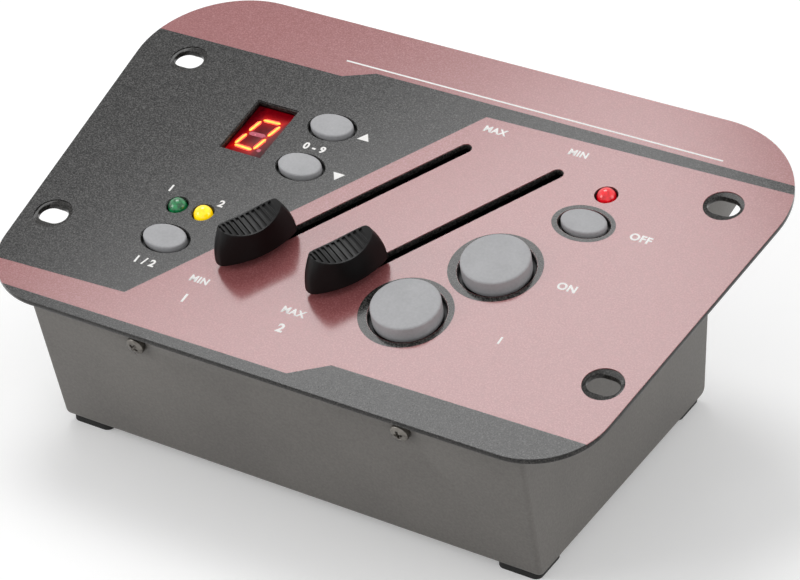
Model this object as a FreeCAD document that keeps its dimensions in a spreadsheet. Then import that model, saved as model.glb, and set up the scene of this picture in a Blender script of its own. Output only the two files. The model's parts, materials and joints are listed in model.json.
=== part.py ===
import FreeCAD, Part
import math
import os
import types

import Sketcher

# Small desk console for strobe lights: a tilted printed panel on a wedge-shaped steel tray.
# Millimetres. X runs along the panel, Y towards the rear, Z up. The console stands on its feet
# at Z 0, and the origin is under the middle of its outline.
# The panel frame has Z out of the panel, with Z 0 on the printed film. The tilt sets it in place.
# The rear frame has Z out of the lower rear wall, with X to the right as seen from behind.

# Driving lengths

lengths = {
    # Panel plate and its printed film
    "plate_depth": 124.0,
    "plate_width": 184.4,
    "rear_corner_radius": 28.0,
    "front_corner_radius": 20.0,
    "plate_thickness": 1.5,
    "film_thickness": 0.25,
    "film_setback": 0.25,
    "mount_side_inset": 12.2,
    "mount_end_inset": 29.25,
    "mount_slot_length": 8.4,
    "mount_slot_width": 6.2,
    "mount_film_radius": 5.2,
    # Tray
    "tray_width": 142.4,
    "tray_depth": 116.0,
    "front_height": 47.5,
    "hood_height": 23.0,
    "hood_overhang": 16.0,
    "wall": 1.2,
    "bend_radius": 2.6,
    "corner_radius": 1.4,
    # Brackets and the screws that hold the tray
    "bracket_width": 14.0,
    "bracket_reach": 11.0,
    "bracket_drop": 15.0,
    "bracket_thickness": 1.5,
    "tray_screw_spacing": 76.6,
    "tray_screw_drop": 7.9,
    # Screws
    "screw_shank_radius": 1.45,
    "screw_head_radius": 2.5,
    "screw_head_height": 2.1,
    "screw_length": 6.0,
    "screw_clearance": 0.25,
    "thread_clearance": 0.05,
    # Feet
    "foot_height": 2.0,
    "foot_side": 12.0,
    "foot_corner_radius": 2.0,
    "foot_inset": 7.2,
    "foot_recess_radius": 3.2,
    "foot_recess_depth": 1.1,
    "foot_screw_head_height": 0.8,
    # Circuit board
    "board_side_gap": 7.0,
    "board_depth": 92.0,
    "board_drop": 11.3,
    "board_thickness": 1.6,
    "board_shift": 1.0,
    "spacer_inset": 4.5,
    "spacer_radius": 3.2,
    "chip_length": 36.0,
    "chip_width": 9.0,
    "chip_height": 4.2,
    "chip_x": -22.0,
    "chip_y": 20.0,
    "capacitor_radius": 4.0,
    "capacitor_height": 9.0,
    "capacitor_x": 24.0,
    "capacitor_y": -30.0,
    "capacitor_pitch": 14.0,
    "regulator_width": 10.0,
    "regulator_height": 15.0,
    "regulator_thickness": 4.5,
    "regulator_x": -46.0,
    "regulator_y": -28.0,
    # Display
    "display_x": -46.2,
    "display_y": 15.2,
    "window_width": 12.3,
    "window_height": 19.3,
    "module_lip": 0.3,
    "module_depth": 8.1,
    "filter_thickness": 1.0,
    # Indicator lamps
    "lamp_radius": 2.5,
    "lamp_gap": 0.35,
    "lamp_rise": 1.7,
    "lamp_height": 8.6,
    "lamp_flange_radius": 2.9,
    "lamp_flange_height": 1.0,
    "lead_thickness": 0.5,
    "lead_pitch": 2.54,
    "status_x": -50.7,
    "status_y": -17.9,
    "status_pitch": 7.9,
    "red_x": 51.0,
    "red_y": 25.7,
    # Slide controls
    "fader_x": -22.0,
    "fader_y": -24.4,
    "fader_pitch": 26.7,
    "fader_travel": 60.0,
    "fader_slot_width": 3.0,
    "fader_width": 9.0,
    "fader_height": 7.8,
    "fader_end": 2.5,
    "fader_wall": 1.0,
    "stop_gap": 0.5,
    "slide_gap": 0.3,
    "carriage_length": 8.0,
    "lever_length": 4.0,
    "lever_thickness": 1.2,
    "lever_rise": 7.0,
    # Knobs of the slide controls
    "knob_gap": 2.0,
    "knob_length": 22.0,
    "knob_width": 9.1,
    "knob_end_width": 4.2,
    "knob_end_bow": 0.9,
    "knob_height": 10.0,
    "knob_flare": 0.6,
    "knob_belly_height": 3.0,
    "knob_top_length": 16.8,
    "knob_top_width": 8.6,
    "knob_top_end_width": 3.6,
    "knob_edge_radius": 0.9,
    "knob_dip": 2.6,
    "groove_pitch": 1.5,
    "groove_width": 0.8,
    "groove_depth": 0.45,
    "socket_clearance": 0.05,
    # Push buttons
    "round_radius": 8.85,
    "round_gap": 0.95,
    "round_rise": 3.6,
    "round_edge": 0.5,
    "oval_half_length": 6.15,
    "oval_half_width": 4.2,
    "oval_gap": 0.72,
    "oval_rise": 1.2,
    "oval_edge": 0.45,
    "flange_lip": 0.8,
    "flange_gap": 0.3,
    "flange_thickness": 1.0,
    "stem_radius": 2.0,
    "stem_entry": 1.2,
    "stem_clearance": 0.3,
    "round_switch_side": 12.0,
    "oval_switch_side": 7.5,
    "switch_height": 4.4,
    "switch_floor": 1.0,
    "step_x": -28.0,
    "step_y": 22.6,
    "step_pitch": 16.3,
    "mode_x": -46.7,
    "mode_y": -29.7,
    "hold_x": 50.6,
    "hold_y": 14.3,
    "full_x": 37.9,
    "full_y": -7.8,
    "single_x": 24.9,
    "single_y": -29.8,
    # Rear wall: places of the sockets in the rear frame
    "socket_height": 21.0,
    "output_x": 45.0,
    "jack_x": 9.0,
    "inlet_x": -17.0,
    "switch_x": -46.0,
    "fit_gap": 0.2,
    # Three-pin output socket
    "output_flange_width": 26.0,
    "output_flange_height": 31.0,
    "output_flange_thickness": 2.0,
    "output_flange_corner": 3.0,
    "output_barrel_radius": 11.8,
    "output_barrel_length": 22.0,
    "output_mouth_radius": 9.6,
    "output_mouth_depth": 15.0,
    "output_core_radius": 7.6,
    "output_core_rise": 0.4,
    "contact_radius": 1.2,
    "contact_circle": 4.4,
    "contact_depth": 11.0,
    "tail_radius": 0.9,
    "tail_length": 5.0,
    "latch_width": 8.0,
    "latch_height": 3.0,
    "latch_depth": 3.6,
    "latch_travel": 0.8,
    "latch_gap": 0.3,
    "latch_inset": 1.2,
    "output_screw_x": 9.5,
    "output_screw_y": 12.0,
    # Jack socket
    "jack_bore_radius": 3.2,
    "jack_collar_radius": 4.5,
    "jack_collar_length": 6.0,
    "jack_body_width": 15.0,
    "jack_body_length": 23.0,
    "jack_nut_radius": 7.0,
    "jack_nut_height": 2.2,
    # Power inlet
    "inlet_bore_radius": 2.85,
    "inlet_pin_radius": 1.05,
    "inlet_pin_setback": 1.0,
    "inlet_depth": 9.5,
    "inlet_collar_radius": 4.0,
    "inlet_collar_length": 4.6,
    "inlet_body_radius": 5.6,
    "inlet_body_length": 12.0,
    "inlet_nut_radius": 6.4,
    "inlet_nut_height": 2.0,
    # Power switch
    "switch_flange_lip": 1.1,
    "switch_flange_thickness": 1.6,
    "switch_body_width": 12.8,
    "switch_body_height": 18.8,
    "switch_body_length": 14.0,
    "switch_side_wall": 1.0,
    "switch_end_wall": 0.9,
    "rocker_well_depth": 9.0,
    "rocker_side_gap": 0.3,
    "rocker_end_gap": 1.1,
    "rocker_pivot_depth": 2.4,
    "rocker_shoulder": 4.2,
    "rocker_valley": 2.8,
    "rocker_belly": 3.4,
    "pivot_radius": 0.9,
    "pivot_length": 0.7,
    "pivot_clearance": 0.05,
    "blade_width": 4.8,
    "blade_thickness": 0.8,
    "blade_length": 7.0,
    "blade_pitch": 6.0,
    # How far a cutter runs past what it cuts
    "overrun": 1.0,
}

# Driving angles in degrees, and counts

angles = {
    "panel_tilt": 13.5,
    "side_flare": 6.4,
    "fader_angle": 59.4,
    "rocker_throw": 24.0,
}
rib_count = 11
capacitor_count = 2
contact_count = 3
quarter_turn = 90
half_turn = 180

doc = FreeCAD.newDocument("strobe_console")
dims = doc.addObject("Spreadsheet::Sheet", "dims")
driving = {**lengths, **angles}
for row, (alias, value) in enumerate(driving.items(), start=1):
    dims.set(f"A{row}", alias.replace("_", " "))
    dims.set(f"B{row}", str(value))
    dims.setAlias(f"B{row}", alias)
doc.recompute()


# A size carries its value and the expression over the sheet that gives it

class Size:
    def __init__(self, value, text):
        self.value = value
        self.text = text

    def __float__(self):
        return float(self.value)

    def __add__(self, other):
        other = as_size(other)
        return Size(self.value + other.value, f"({self.text} + {other.text})")

    def __radd__(self, other):
        return as_size(other) + self

    def __sub__(self, other):
        other = as_size(other)
        return Size(self.value - other.value, f"({self.text} - {other.text})")

    def __rsub__(self, other):
        return as_size(other) - self

    def __mul__(self, other):
        other = as_size(other)
        return Size(self.value * other.value, f"({self.text} * {other.text})")

    def __rmul__(self, other):
        return as_size(other) * self

    def __truediv__(self, other):
        other = as_size(other)
        return Size(self.value / other.value, f"({self.text} / {other.text})")

    def __neg__(self):
        return as_size(0) - self


def as_size(thing):
    if isinstance(thing, Size):
        return thing
    return Size(float(thing), repr(float(thing)))


def sine(angle):
    return Size(math.sin(math.radians(angle.value)), f"sin({angle.text})")


def cosine(angle):
    return Size(math.cos(math.radians(angle.value)), f"cos({angle.text})")


def tangent(angle):
    return Size(math.tan(math.radians(angle.value)), f"tan({angle.text})")


dim = types.SimpleNamespace(**{name: Size(float(dims.get(name)), f"dims.{name}") for name in driving})


# Building helpers. Every size and place is bound to the sheet.
# Blocks, rods and the like stand on the given z, centred on x and y.

def vector(x, y, z):
    return FreeCAD.Vector(float(x), float(y), float(z))


def bind(item, **sizes):
    for prop, size in sizes.items():
        item.setExpression(prop, as_size(size).text)


def put(item, x, y, z):
    for axis, size in zip("xyz", (x, y, z)):
        if isinstance(size, Size):
            item.setExpression(f"Placement.Base.{axis}", size.text)
    return item


def seat(item, x=0, y=0, z=0, axis=(0, 0, 1), angle=0):
    turn = FreeCAD.Rotation(FreeCAD.Vector(*axis), float(angle))
    item.Placement = FreeCAD.Placement(vector(x, y, z), turn)
    if isinstance(angle, Size):
        item.setExpression("Placement.Rotation.Angle", angle.text)
    return put(item, x, y, z)


def block(name, length, width, height, x=0, y=0, z=0):
    item = doc.addObject("Part::Box", name)
    bind(item, Length=length, Width=width, Height=height)
    return put(item, x - length / 2, y - width / 2, z)


def rod(name, radius, height, x=0, y=0, z=0):
    item = doc.addObject("Part::Cylinder", name)
    bind(item, Radius=radius, Height=height)
    return put(item, x, y, z)


def ball(name, radius, x=0, y=0, z=0):
    item = doc.addObject("Part::Sphere", name)
    bind(item, Radius=radius)
    return put(item, x, y, z)


def hexagon(name, radius, height, x=0, y=0, z=0):
    item = doc.addObject("Part::Prism", name)
    item.Polygon = 6
    bind(item, Circumradius=radius, Height=height)
    return put(item, x, y, z)


def oval(name, half_length, half_width, height, x=0, y=0, z=0):
    ring = doc.addObject("Part::Ellipse", f"{name}_outline")
    bind(ring, MajorRadius=half_length, MinorRadius=half_width)
    put(ring, x, y, z)
    item = doc.addObject("Part::Extrusion", name)
    item.Base = ring
    item.DirMode = "Custom"
    item.Dir = FreeCAD.Vector(0, 0, 1)
    item.Solid = True
    bind(item, LengthFwd=height)
    return item


def fuse(name, *pieces):
    item = doc.addObject("Part::MultiFuse", name)
    item.Shapes = list(pieces)
    return item


def cut(name, base, *tools):
    item = doc.addObject("Part::Cut", name)
    item.Base = base
    item.Tool = tools[0] if len(tools) == 1 else fuse(f"{name}_tools", *tools)
    return item


def group(name, *pieces):
    item = doc.addObject("Part::Compound", name)
    item.Links = list(pieces)
    return item


def capsule(name, length, width, height, x=0, y=0, z=0):
    reach = (length - width) / 2
    middle = block(f"{name}_middle", length - width, width, height, x, y, z)
    ends = [rod(f"{name}_end{side}", width / 2, height, x + side * reach, y, z) for side in (-1, 1)]
    return fuse(name, middle, *ends)


def rounded(name, base, radius, picked):
    doc.recompute()
    item = doc.addObject("Part::Fillet", name)
    item.Base = base
    edges = [number for number, edge in enumerate(base.Shape.Edges, start=1) if picked(edge)]
    item.Edges = [(number, float(radius), float(radius)) for number in edges]
    return item


def at_height(level):
    def picked(edge):
        box = edge.BoundBox
        return abs(box.ZMin - float(level)) < tolerance and abs(box.ZMax - float(level)) < tolerance
    return picked


def upright(edge):
    box = edge.BoundBox
    return box.XLength < tolerance and box.YLength < tolerance


def profile_body(name, role, outline, depth, midplane=False):
    body = doc.addObject("PartDesign::Body", name)
    plane = next(item for item in body.Origin.OriginFeatures if item.Role == role)
    sketch = body.newObject("Sketcher::SketchObject", f"{name}_profile")
    sketch.AttachmentSupport = (plane, [""])
    sketch.MapMode = "FlatFace"
    corners = [vector(x, y, 0) for x, y in outline]
    followers = [(index + 1) % len(corners) for index in range(len(corners))]
    for corner, follower in zip(corners, followers):
        sketch.addGeometry(Part.LineSegment(corner, corners[follower]), False)
    for index, follower in enumerate(followers):
        sketch.addConstraint(Sketcher.Constraint("Coincident", index, 2, follower, 1))
    for index, point in enumerate(outline):
        for kind, size in zip(("DistanceX", "DistanceY"), point):
            number = sketch.addConstraint(Sketcher.Constraint(kind, -1, 1, index, 1, float(size)))
            sketch.setExpression(f"Constraints[{number}]", as_size(size).text)
    pad = body.newObject("PartDesign::Pad", f"{name}_pad")
    pad.Profile = sketch
    pad.Midplane = midplane
    bind(pad, Length=depth)
    doc.recompute()
    return body


def soften(body, name, radius, picked):
    tip = body.Tip
    edges = [f"Edge{number}" for number, edge in enumerate(tip.Shape.Edges, start=1) if picked(edge)]
    item = body.newObject("PartDesign::Fillet", name)
    item.Base = (tip, edges)
    bind(item, Radius=radius)
    doc.recompute()


nodes = {}


def node(name, item):
    item.Label = name
    nodes[name] = item


tolerance = 1e-4
along_x = (1, 0, 0)

# Levels below the film in the panel frame

film_floor = -dim.film_thickness
plate_floor = film_floor - dim.plate_thickness
board_top = -dim.board_drop
board_floor = board_top - dim.board_thickness
board_width = dim.tray_width - dim.wall * 2 - dim.board_side_gap * 2

# From the panel frame to the standing console

half_tray = dim.tray_depth / 2
front_reach = dim.plate_depth / 2 * cosine(dim.panel_tilt)
rear_reach = half_tray * cosine(dim.panel_tilt) + dim.hood_height * sine(dim.panel_tilt)
panel_y = (front_reach - rear_reach) / 2
front_sink = half_tray * sine(dim.panel_tilt) + dim.front_height * cosine(dim.panel_tilt)
panel_z = dim.foot_height + front_sink
rear_wall = (front_reach + rear_reach) / 2 - dim.hood_overhang


def standing(y, z):
    deep = y * cosine(dim.panel_tilt) - z * sine(dim.panel_tilt) + panel_y
    high = y * sine(dim.panel_tilt) + z * cosine(dim.panel_tilt) + panel_z
    return deep, high


def on_panel(item):
    return seat(item, 0, panel_y, panel_z, along_x, dim.panel_tilt)


def on_rear(item, x):
    return seat(item, -x, rear_wall, dim.socket_height, (0, 1, 1), half_turn)


# Places of the controls, lamps and fixings in the panel frame

round_buttons = {
    "button_full": (dim.full_x, dim.full_y),
    "button_single": (dim.single_x, dim.single_y),
}
oval_buttons = {
    "button_step_up": (dim.step_x, dim.step_y),
    "button_step_down": (dim.step_x, dim.step_y - dim.step_pitch),
    "button_mode": (dim.mode_x, dim.mode_y),
    "button_hold": (dim.hold_x, dim.hold_y),
}
lamps = {
    "lamp_green": (dim.status_x, dim.status_y),
    "lamp_yellow": (dim.status_x + dim.status_pitch, dim.status_y),
    "lamp_red": (dim.red_x, dim.red_y),
}
faders = {
    "left": dim.fader_x,
    "right": dim.fader_x + dim.fader_pitch,
}
corners = [(side, end) for side in (-1, 1) for end in (-1, 1)]


def along_fader(item, side):
    return seat(item, faders[side], dim.fader_y, 0, (0, 0, 1), dim.fader_angle)


# Screws: pan head with a cross recess. The head stands on Z 0 and the shank goes down.

dome_share = 0.7
cross_length_share = 1.1
cross_width_share = 0.24
cross_depth_share = 0.6


def screw(name, length, head_height=dim.screw_head_height):
    shank = rod(f"{name}_shank", dim.screw_shank_radius, length, z=-length)
    head = rod(f"{name}_head", dim.screw_head_radius, head_height)
    dome_radius = head_height * dome_share
    dome = rounded(f"{name}_dome", head, dome_radius, at_height(head_height))
    arm = dim.screw_head_radius * cross_length_share
    width = dim.screw_head_radius * cross_width_share
    depth = head_height * cross_depth_share
    bottom = head_height - depth
    bars = [
        block(f"{name}_bar_across", arm, width, depth + dim.overrun, z=bottom),
        block(f"{name}_bar_along", width, arm, depth + dim.overrun, z=bottom),
    ]
    return cut(name, fuse(f"{name}_blank", shank, dome), *bars)


# Panel plate and film: a trapezoid with rounded corners, pierced for every control

def panel_sheet(name, bottom, thickness):
    half_depth = dim.plate_depth / 2
    flare = half_depth * tangent(dim.side_flare)
    front = dim.plate_width / 2 - flare
    back = dim.plate_width / 2 + flare
    outline = [(-front, -half_depth), (front, -half_depth), (back, half_depth), (-back, half_depth)]
    body = profile_body(name, "XY_Plane", outline, thickness)

    def at_rear(edge):
        return upright(edge) and edge.CenterOfMass.y > 0

    def at_front(edge):
        return upright(edge) and edge.CenterOfMass.y < tolerance - float(half_depth)

    soften(body, f"{name}_rear_corners", dim.rear_corner_radius, at_rear)
    soften(body, f"{name}_front_corners", dim.front_corner_radius, at_front)
    return seat(body, 0, 0, bottom)


def control_openings(name, grow):
    low = plate_floor - dim.overrun
    height = dim.overrun - low
    tools = [block(f"{name}_window", dim.window_width + grow * 2, dim.window_height + grow * 2,
                   height, dim.display_x, dim.display_y, low)]
    slot_length = dim.fader_travel + dim.lever_length + dim.stop_gap * 2 + grow * 2
    for side in faders:
        slot = capsule(f"{name}_slot_{side}", slot_length, dim.fader_slot_width + grow * 2, height,
                       dim.fader_travel / 2, 0, low)
        tools.append(along_fader(slot, side))
    round_hole = dim.round_radius + dim.round_gap + grow
    for button, (x, y) in round_buttons.items():
        tools.append(rod(f"{name}_{button}", round_hole, height, x, y, low))
    half_length = dim.oval_half_length + dim.oval_gap + grow
    half_width = dim.oval_half_width + dim.oval_gap + grow
    for button, (x, y) in oval_buttons.items():
        tools.append(oval(f"{name}_{button}", half_length, half_width, height, x, y, low))
    for lamp, (x, y) in lamps.items():
        tools.append(rod(f"{name}_{lamp}", dim.lamp_radius + dim.lamp_gap + grow, height, x, y, low))
    return tools


def mount_place(side, end):
    x = side * (dim.plate_width / 2 - dim.mount_side_inset)
    return x, end * (dim.plate_depth / 2 - dim.mount_end_inset)


def panel_plate():
    tools = control_openings("plate", 0)
    low = plate_floor - dim.overrun
    for number, corner in enumerate(corners):
        tools.append(capsule(f"mount_slot{number}", dim.mount_slot_length, dim.mount_slot_width,
                             dim.overrun - low, *mount_place(*corner), low))
    sheet = panel_sheet("plate_sheet", plate_floor, dim.plate_thickness)
    node("panel_plate", on_panel(cut("plate", sheet, *tools)))


def panel_film():
    tools = control_openings("film", dim.film_setback)
    low = film_floor - dim.overrun
    for number, corner in enumerate(corners):
        tools.append(rod(f"film_hole{number}", dim.mount_film_radius, dim.overrun - low,
                         *mount_place(*corner), low))
    sheet = panel_sheet("film_sheet", film_floor, dim.film_thickness)
    node("panel_film", on_panel(cut("film", sheet, *tools)))


# Tray: bent from sheet, standing level, with a hood over the sockets in its lower rear wall

def tray_outline():
    ledge_z = -dim.hood_height
    ledge_y = (rear_wall - panel_y + ledge_z * sine(dim.panel_tilt)) / cosine(dim.panel_tilt)
    return [
        standing(-half_tray, plate_floor),
        standing(-half_tray, -dim.front_height),
        (rear_wall, dim.foot_height),
        standing(ledge_y, ledge_z),
        standing(half_tray, ledge_z),
        standing(half_tray, plate_floor),
    ]


def tray_shell():
    body = profile_body("tray_body", "YZ_Plane", tray_outline(), dim.tray_width, midplane=True)

    def lower_bend(edge):
        return at_height(dim.foot_height)(edge) and edge.BoundBox.YLength < tolerance

    def wall_corner(edge):
        box = edge.BoundBox
        return box.XLength < tolerance and box.ZLength > max(box.YLength, float(dim.bend_radius))

    soften(body, "tray_bends", dim.bend_radius, lower_bend)
    soften(body, "tray_corners", dim.corner_radius, wall_corner)
    solid = body.Tip
    flat = {number: face for number, face in enumerate(solid.Shape.Faces, start=1)
            if isinstance(face.Surface, Part.Plane)}
    rim = max(flat, key=lambda number: flat[number].normalAt(0, 0).z)
    shell = body.newObject("PartDesign::Thickness", "tray_wall")
    shell.Base = (solid, [f"Face{rim}"])
    shell.Reversed = True
    bind(shell, Value=dim.wall)
    return body


def socket_cutters():
    depth = dim.wall + dim.overrun * 2
    low = -dim.wall - dim.overrun
    hole = dim.screw_shank_radius + dim.screw_clearance
    output = [rod("output_opening", dim.output_barrel_radius + dim.fit_gap, depth, z=low)]
    for side in (-1, 1):
        output.append(rod(f"output_screw_hole{side}", hole, depth, side * dim.output_screw_x,
                          -side * dim.output_screw_y, low))
    jack = rod("jack_opening", dim.jack_collar_radius + dim.fit_gap, depth, z=low)
    inlet = rod("inlet_opening", dim.inlet_collar_radius + dim.fit_gap, depth, z=low)
    switch = block("switch_opening", dim.switch_body_width + dim.fit_gap * 2,
                   dim.switch_body_height + dim.fit_gap * 2, depth, z=low)
    return [
        on_rear(group("output_openings", *output), dim.output_x),
        on_rear(group("jack_openings", jack), dim.jack_x),
        on_rear(group("inlet_openings", inlet), dim.inlet_x),
        on_rear(group("switch_openings", switch), dim.switch_x),
    ]


def facing(item, side, end, depth):
    x = side * dim.tray_screw_spacing / 2
    return seat(item, x, end * depth, -dim.tray_screw_drop, along_x, -quarter_turn * end)


def foot_place(side, end):
    front_y = standing(-half_tray, -dim.front_height)[0] + dim.foot_inset
    rear_y = rear_wall - dim.foot_inset
    return side * (dim.tray_width / 2 - dim.foot_inset), (front_y if end < 0 else rear_y)


def housing_tray():
    hole = dim.screw_shank_radius + dim.screw_clearance
    depth = dim.wall + dim.overrun * 2
    start = half_tray - dim.wall - dim.overrun
    screw_holes = [facing(rod(f"tray_hole{number}", hole, depth), *corner, start)
                   for number, corner in enumerate(corners)]
    foot_holes = [rod(f"foot_hole{number}", hole, depth, *foot_place(*corner),
                      dim.foot_height - dim.overrun) for number, corner in enumerate(corners)]
    tools = [on_panel(group("tray_holes", *screw_holes)), *foot_holes, *socket_cutters()]
    node("housing_tray", cut("tray", tray_shell(), *tools))


# Folded brackets under the plate, one behind each tray screw

def panel_brackets():
    outer = half_tray - dim.wall
    brackets = []
    for number, (side, end) in enumerate(corners):
        x = side * dim.tray_screw_spacing / 2
        top = block(f"bracket_top{number}", dim.bracket_width, dim.bracket_reach,
                    dim.bracket_thickness, x, end * (outer - dim.bracket_reach / 2),
                    plate_floor - dim.bracket_thickness)
        leg = block(f"bracket_leg{number}", dim.bracket_width, dim.bracket_thickness,
                    dim.bracket_drop, x, end * (outer - dim.bracket_thickness / 2),
                    plate_floor - dim.bracket_drop)
        hole = rod(f"bracket_hole{number}", dim.screw_shank_radius + dim.thread_clearance,
                   dim.bracket_thickness + dim.overrun * 2)
        facing(hole, side, end, outer - dim.bracket_thickness - dim.overrun)
        brackets.append(cut(f"bracket{number}", fuse(f"bracket_blank{number}", top, leg), hole))
    node("panel_brackets", on_panel(group("brackets", *brackets)))


def tray_screws():
    screws = [facing(screw(f"tray_screw{number}", dim.screw_length), *corner, half_tray)
              for number, corner in enumerate(corners)]
    node("tray_screws", on_panel(group("tray_screw_group", *screws)))


# Rubber feet: thin square pads, each held by a flat screw sunk in its middle

def rubber_feet():
    feet = []
    for number, corner in enumerate(corners):
        x, y = foot_place(*corner)
        square = block(f"foot_square{number}", dim.foot_side, dim.foot_side, dim.foot_height, x, y)
        pad = rounded(f"foot_pad{number}", square, dim.foot_corner_radius, upright)
        recess = rod(f"foot_recess{number}", dim.foot_recess_radius, dim.foot_recess_depth, x, y)
        hole = rod(f"foot_bore{number}", dim.screw_shank_radius + dim.screw_clearance,
                   dim.foot_height, x, y)
        feet.append(cut(f"foot{number}", pad, recess, hole))
    node("rubber_feet", group("feet", *feet))


def foot_screws():
    length = dim.foot_height - dim.foot_recess_depth + dim.wall + dim.screw_head_height
    screws = [seat(screw(f"foot_screw{number}", length, dim.foot_screw_head_height),
                   *foot_place(*corner), dim.foot_recess_depth, along_x, half_turn)
              for number, corner in enumerate(corners)]
    node("foot_screws", group("foot_screw_group", *screws))


# Circuit board on four hexagonal spacers

def spacer_place(side, end):
    across = board_width / 2 - dim.spacer_inset
    deep = dim.board_depth / 2 - dim.spacer_inset
    return side * across, end * deep - dim.board_shift


def control_board():
    sheet = block("board_sheet", board_width, dim.board_depth, dim.board_thickness,
                  0, -dim.board_shift, board_floor)
    holes = [rod(f"board_hole{number}", dim.screw_shank_radius + dim.screw_clearance,
                 dim.board_thickness + dim.overrun * 2, *spacer_place(*corner),
                 board_floor - dim.overrun) for number, corner in enumerate(corners)]
    node("control_board", on_panel(cut("board", sheet, *holes)))


def board_spacers():
    spacers = []
    for number, corner in enumerate(corners):
        x, y = spacer_place(*corner)
        blank = hexagon(f"spacer_blank{number}", dim.spacer_radius, plate_floor - board_top,
                        x, y, board_top)
        bore = rod(f"spacer_bore{number}", dim.screw_shank_radius + dim.thread_clearance,
                   dim.screw_length, x, y, board_top)
        spacers.append(cut(f"spacer{number}", blank, bore))
    node("board_spacers", on_panel(group("spacers", *spacers)))


def board_screws():
    screws = [seat(screw(f"board_screw{number}", dim.screw_length), *spacer_place(*corner),
                   board_floor, along_x, half_turn)
              for number, corner in enumerate(corners)]
    node("board_screws", on_panel(group("board_screw_group", *screws)))


def board_parts():
    chip = block("chip", dim.chip_length, dim.chip_width, dim.chip_height, dim.chip_x, dim.chip_y,
                 board_floor - dim.chip_height)
    capacitors = [rod(f"capacitor{number}", dim.capacitor_radius, dim.capacitor_height,
                      dim.capacitor_x + number * dim.capacitor_pitch, dim.capacitor_y,
                      board_floor - dim.capacitor_height) for number in range(capacitor_count)]
    regulator = block("regulator", dim.regulator_width, dim.regulator_thickness,
                      dim.regulator_height, dim.regulator_x, dim.regulator_y,
                      board_floor - dim.regulator_height)
    node("board_parts", on_panel(group("board_part_group", chip, *capacitors, regulator)))


# Display module on the board, with the red filter lying on its face

def display():
    width = dim.window_width + dim.module_lip * 2
    height = dim.window_height + dim.module_lip * 2
    module = block("module", width, height, dim.module_depth, dim.display_x, dim.display_y, board_top)
    node("display_module", on_panel(group("module_group", module)))
    sheet = block("filter_sheet", width, height, dim.filter_thickness, dim.display_x, dim.display_y,
                  board_top + dim.module_depth)
    node("display_filter", on_panel(group("filter_group", sheet)))


# Indicator lamps: domed cylinder with a flange and two leads down to the board

def lamp(name, x, y):
    bottom = dim.lamp_rise - dim.lamp_height
    dome_centre = dim.lamp_rise - dim.lamp_radius
    body = rod(f"{name}_body", dim.lamp_radius, dome_centre - bottom, x, y, bottom)
    dome = ball(f"{name}_dome", dim.lamp_radius, x, y, dome_centre)
    flange = rod(f"{name}_flange", dim.lamp_flange_radius, dim.lamp_flange_height, x, y, bottom)
    leads = [block(f"{name}_lead{side}", dim.lead_thickness, dim.lead_thickness, bottom - board_top,
                   x + side * dim.lead_pitch / 2, y, board_top) for side in (-1, 1)]
    node(name, on_panel(fuse(f"{name}_whole", body, dome, flange, *leads)))


# Slide controls: a metal body on the board, a carriage with a lever, and a knob pushed on the
# lever. Each is built with X along its travel and its knob at rest over X 0.

cavity_floor = board_top + dim.fader_wall
cavity_top = board_top + dim.fader_height - dim.fader_wall
cavity_width = dim.fader_width - dim.fader_wall * 2


def on_fader(name, item, side):
    node(name, on_panel(group(f"{name}_group", along_fader(item, side))))


def fader_body(side):
    name = f"fader_body_{side}"
    middle = dim.fader_travel / 2
    cavity_length = dim.fader_travel + dim.carriage_length + dim.stop_gap * 2
    blank = block(f"{name}_blank", cavity_length + dim.fader_end * 2, dim.fader_width,
                  dim.fader_height, middle, 0, board_top)
    cavity = block(f"{name}_cavity", cavity_length, cavity_width, cavity_top - cavity_floor,
                   middle, 0, cavity_floor)
    slot_length = dim.fader_travel + dim.lever_length + dim.stop_gap * 2
    slot = block(f"{name}_slot", slot_length, dim.fader_slot_width, dim.fader_wall + dim.overrun,
                 middle, 0, cavity_top)
    on_fader(name, cut(f"{name}_shell", blank, cavity, slot), side)


def fader_lever(side):
    name = f"fader_lever_{side}"
    low = cavity_floor + dim.slide_gap
    carriage = block(f"{name}_carriage", dim.carriage_length, cavity_width - dim.slide_gap * 2,
                     cavity_top - dim.slide_gap - low, z=low)
    blade = block(f"{name}_blade", dim.lever_length, dim.lever_thickness, dim.lever_rise - low, z=low)
    on_fader(name, fuse(f"{name}_whole", carriage, blade), side)


# The knob's outline at one level: two bowed sides and two short bowed ends

def knob_section(length, width, end_width, level):
    shoulder = length / 2 - dim.knob_end_bow
    ring = [
        (shoulder, end_width / 2), (0, width / 2), (-shoulder, end_width / 2),
        (-length / 2, 0), (-shoulder, -end_width / 2), (0, -width / 2),
        (shoulder, -end_width / 2), (length / 2, 0),
    ]
    points = [vector(x, y, level) for x, y in ring]
    points.append(points[0])
    return Part.Wire([Part.Arc(*points[start:start + 3]).toShape() for start in range(0, len(ring), 2)])


def knob_blank():
    low = dim.knob_gap
    high = low + dim.knob_height
    flare = dim.knob_flare
    sections = [
        knob_section(dim.knob_length + flare, dim.knob_width + flare, dim.knob_end_width + flare, low),
        knob_section(dim.knob_length, dim.knob_width, dim.knob_end_width, low + dim.knob_belly_height),
        knob_section(dim.knob_top_length, dim.knob_top_width, dim.knob_top_end_width, high),
    ]
    blank = Part.makeLoft(sections, True, False)
    edges = [edge for edge in blank.Edges
             if edge.BoundBox.ZMin < float(low) + tolerance and edge.BoundBox.ZMax > float(high) - tolerance]
    return blank.makeFillet(float(dim.knob_edge_radius), edges)


# The finger hollow in the knob's top is part of a cylinder across it. The grooves follow it.

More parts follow.
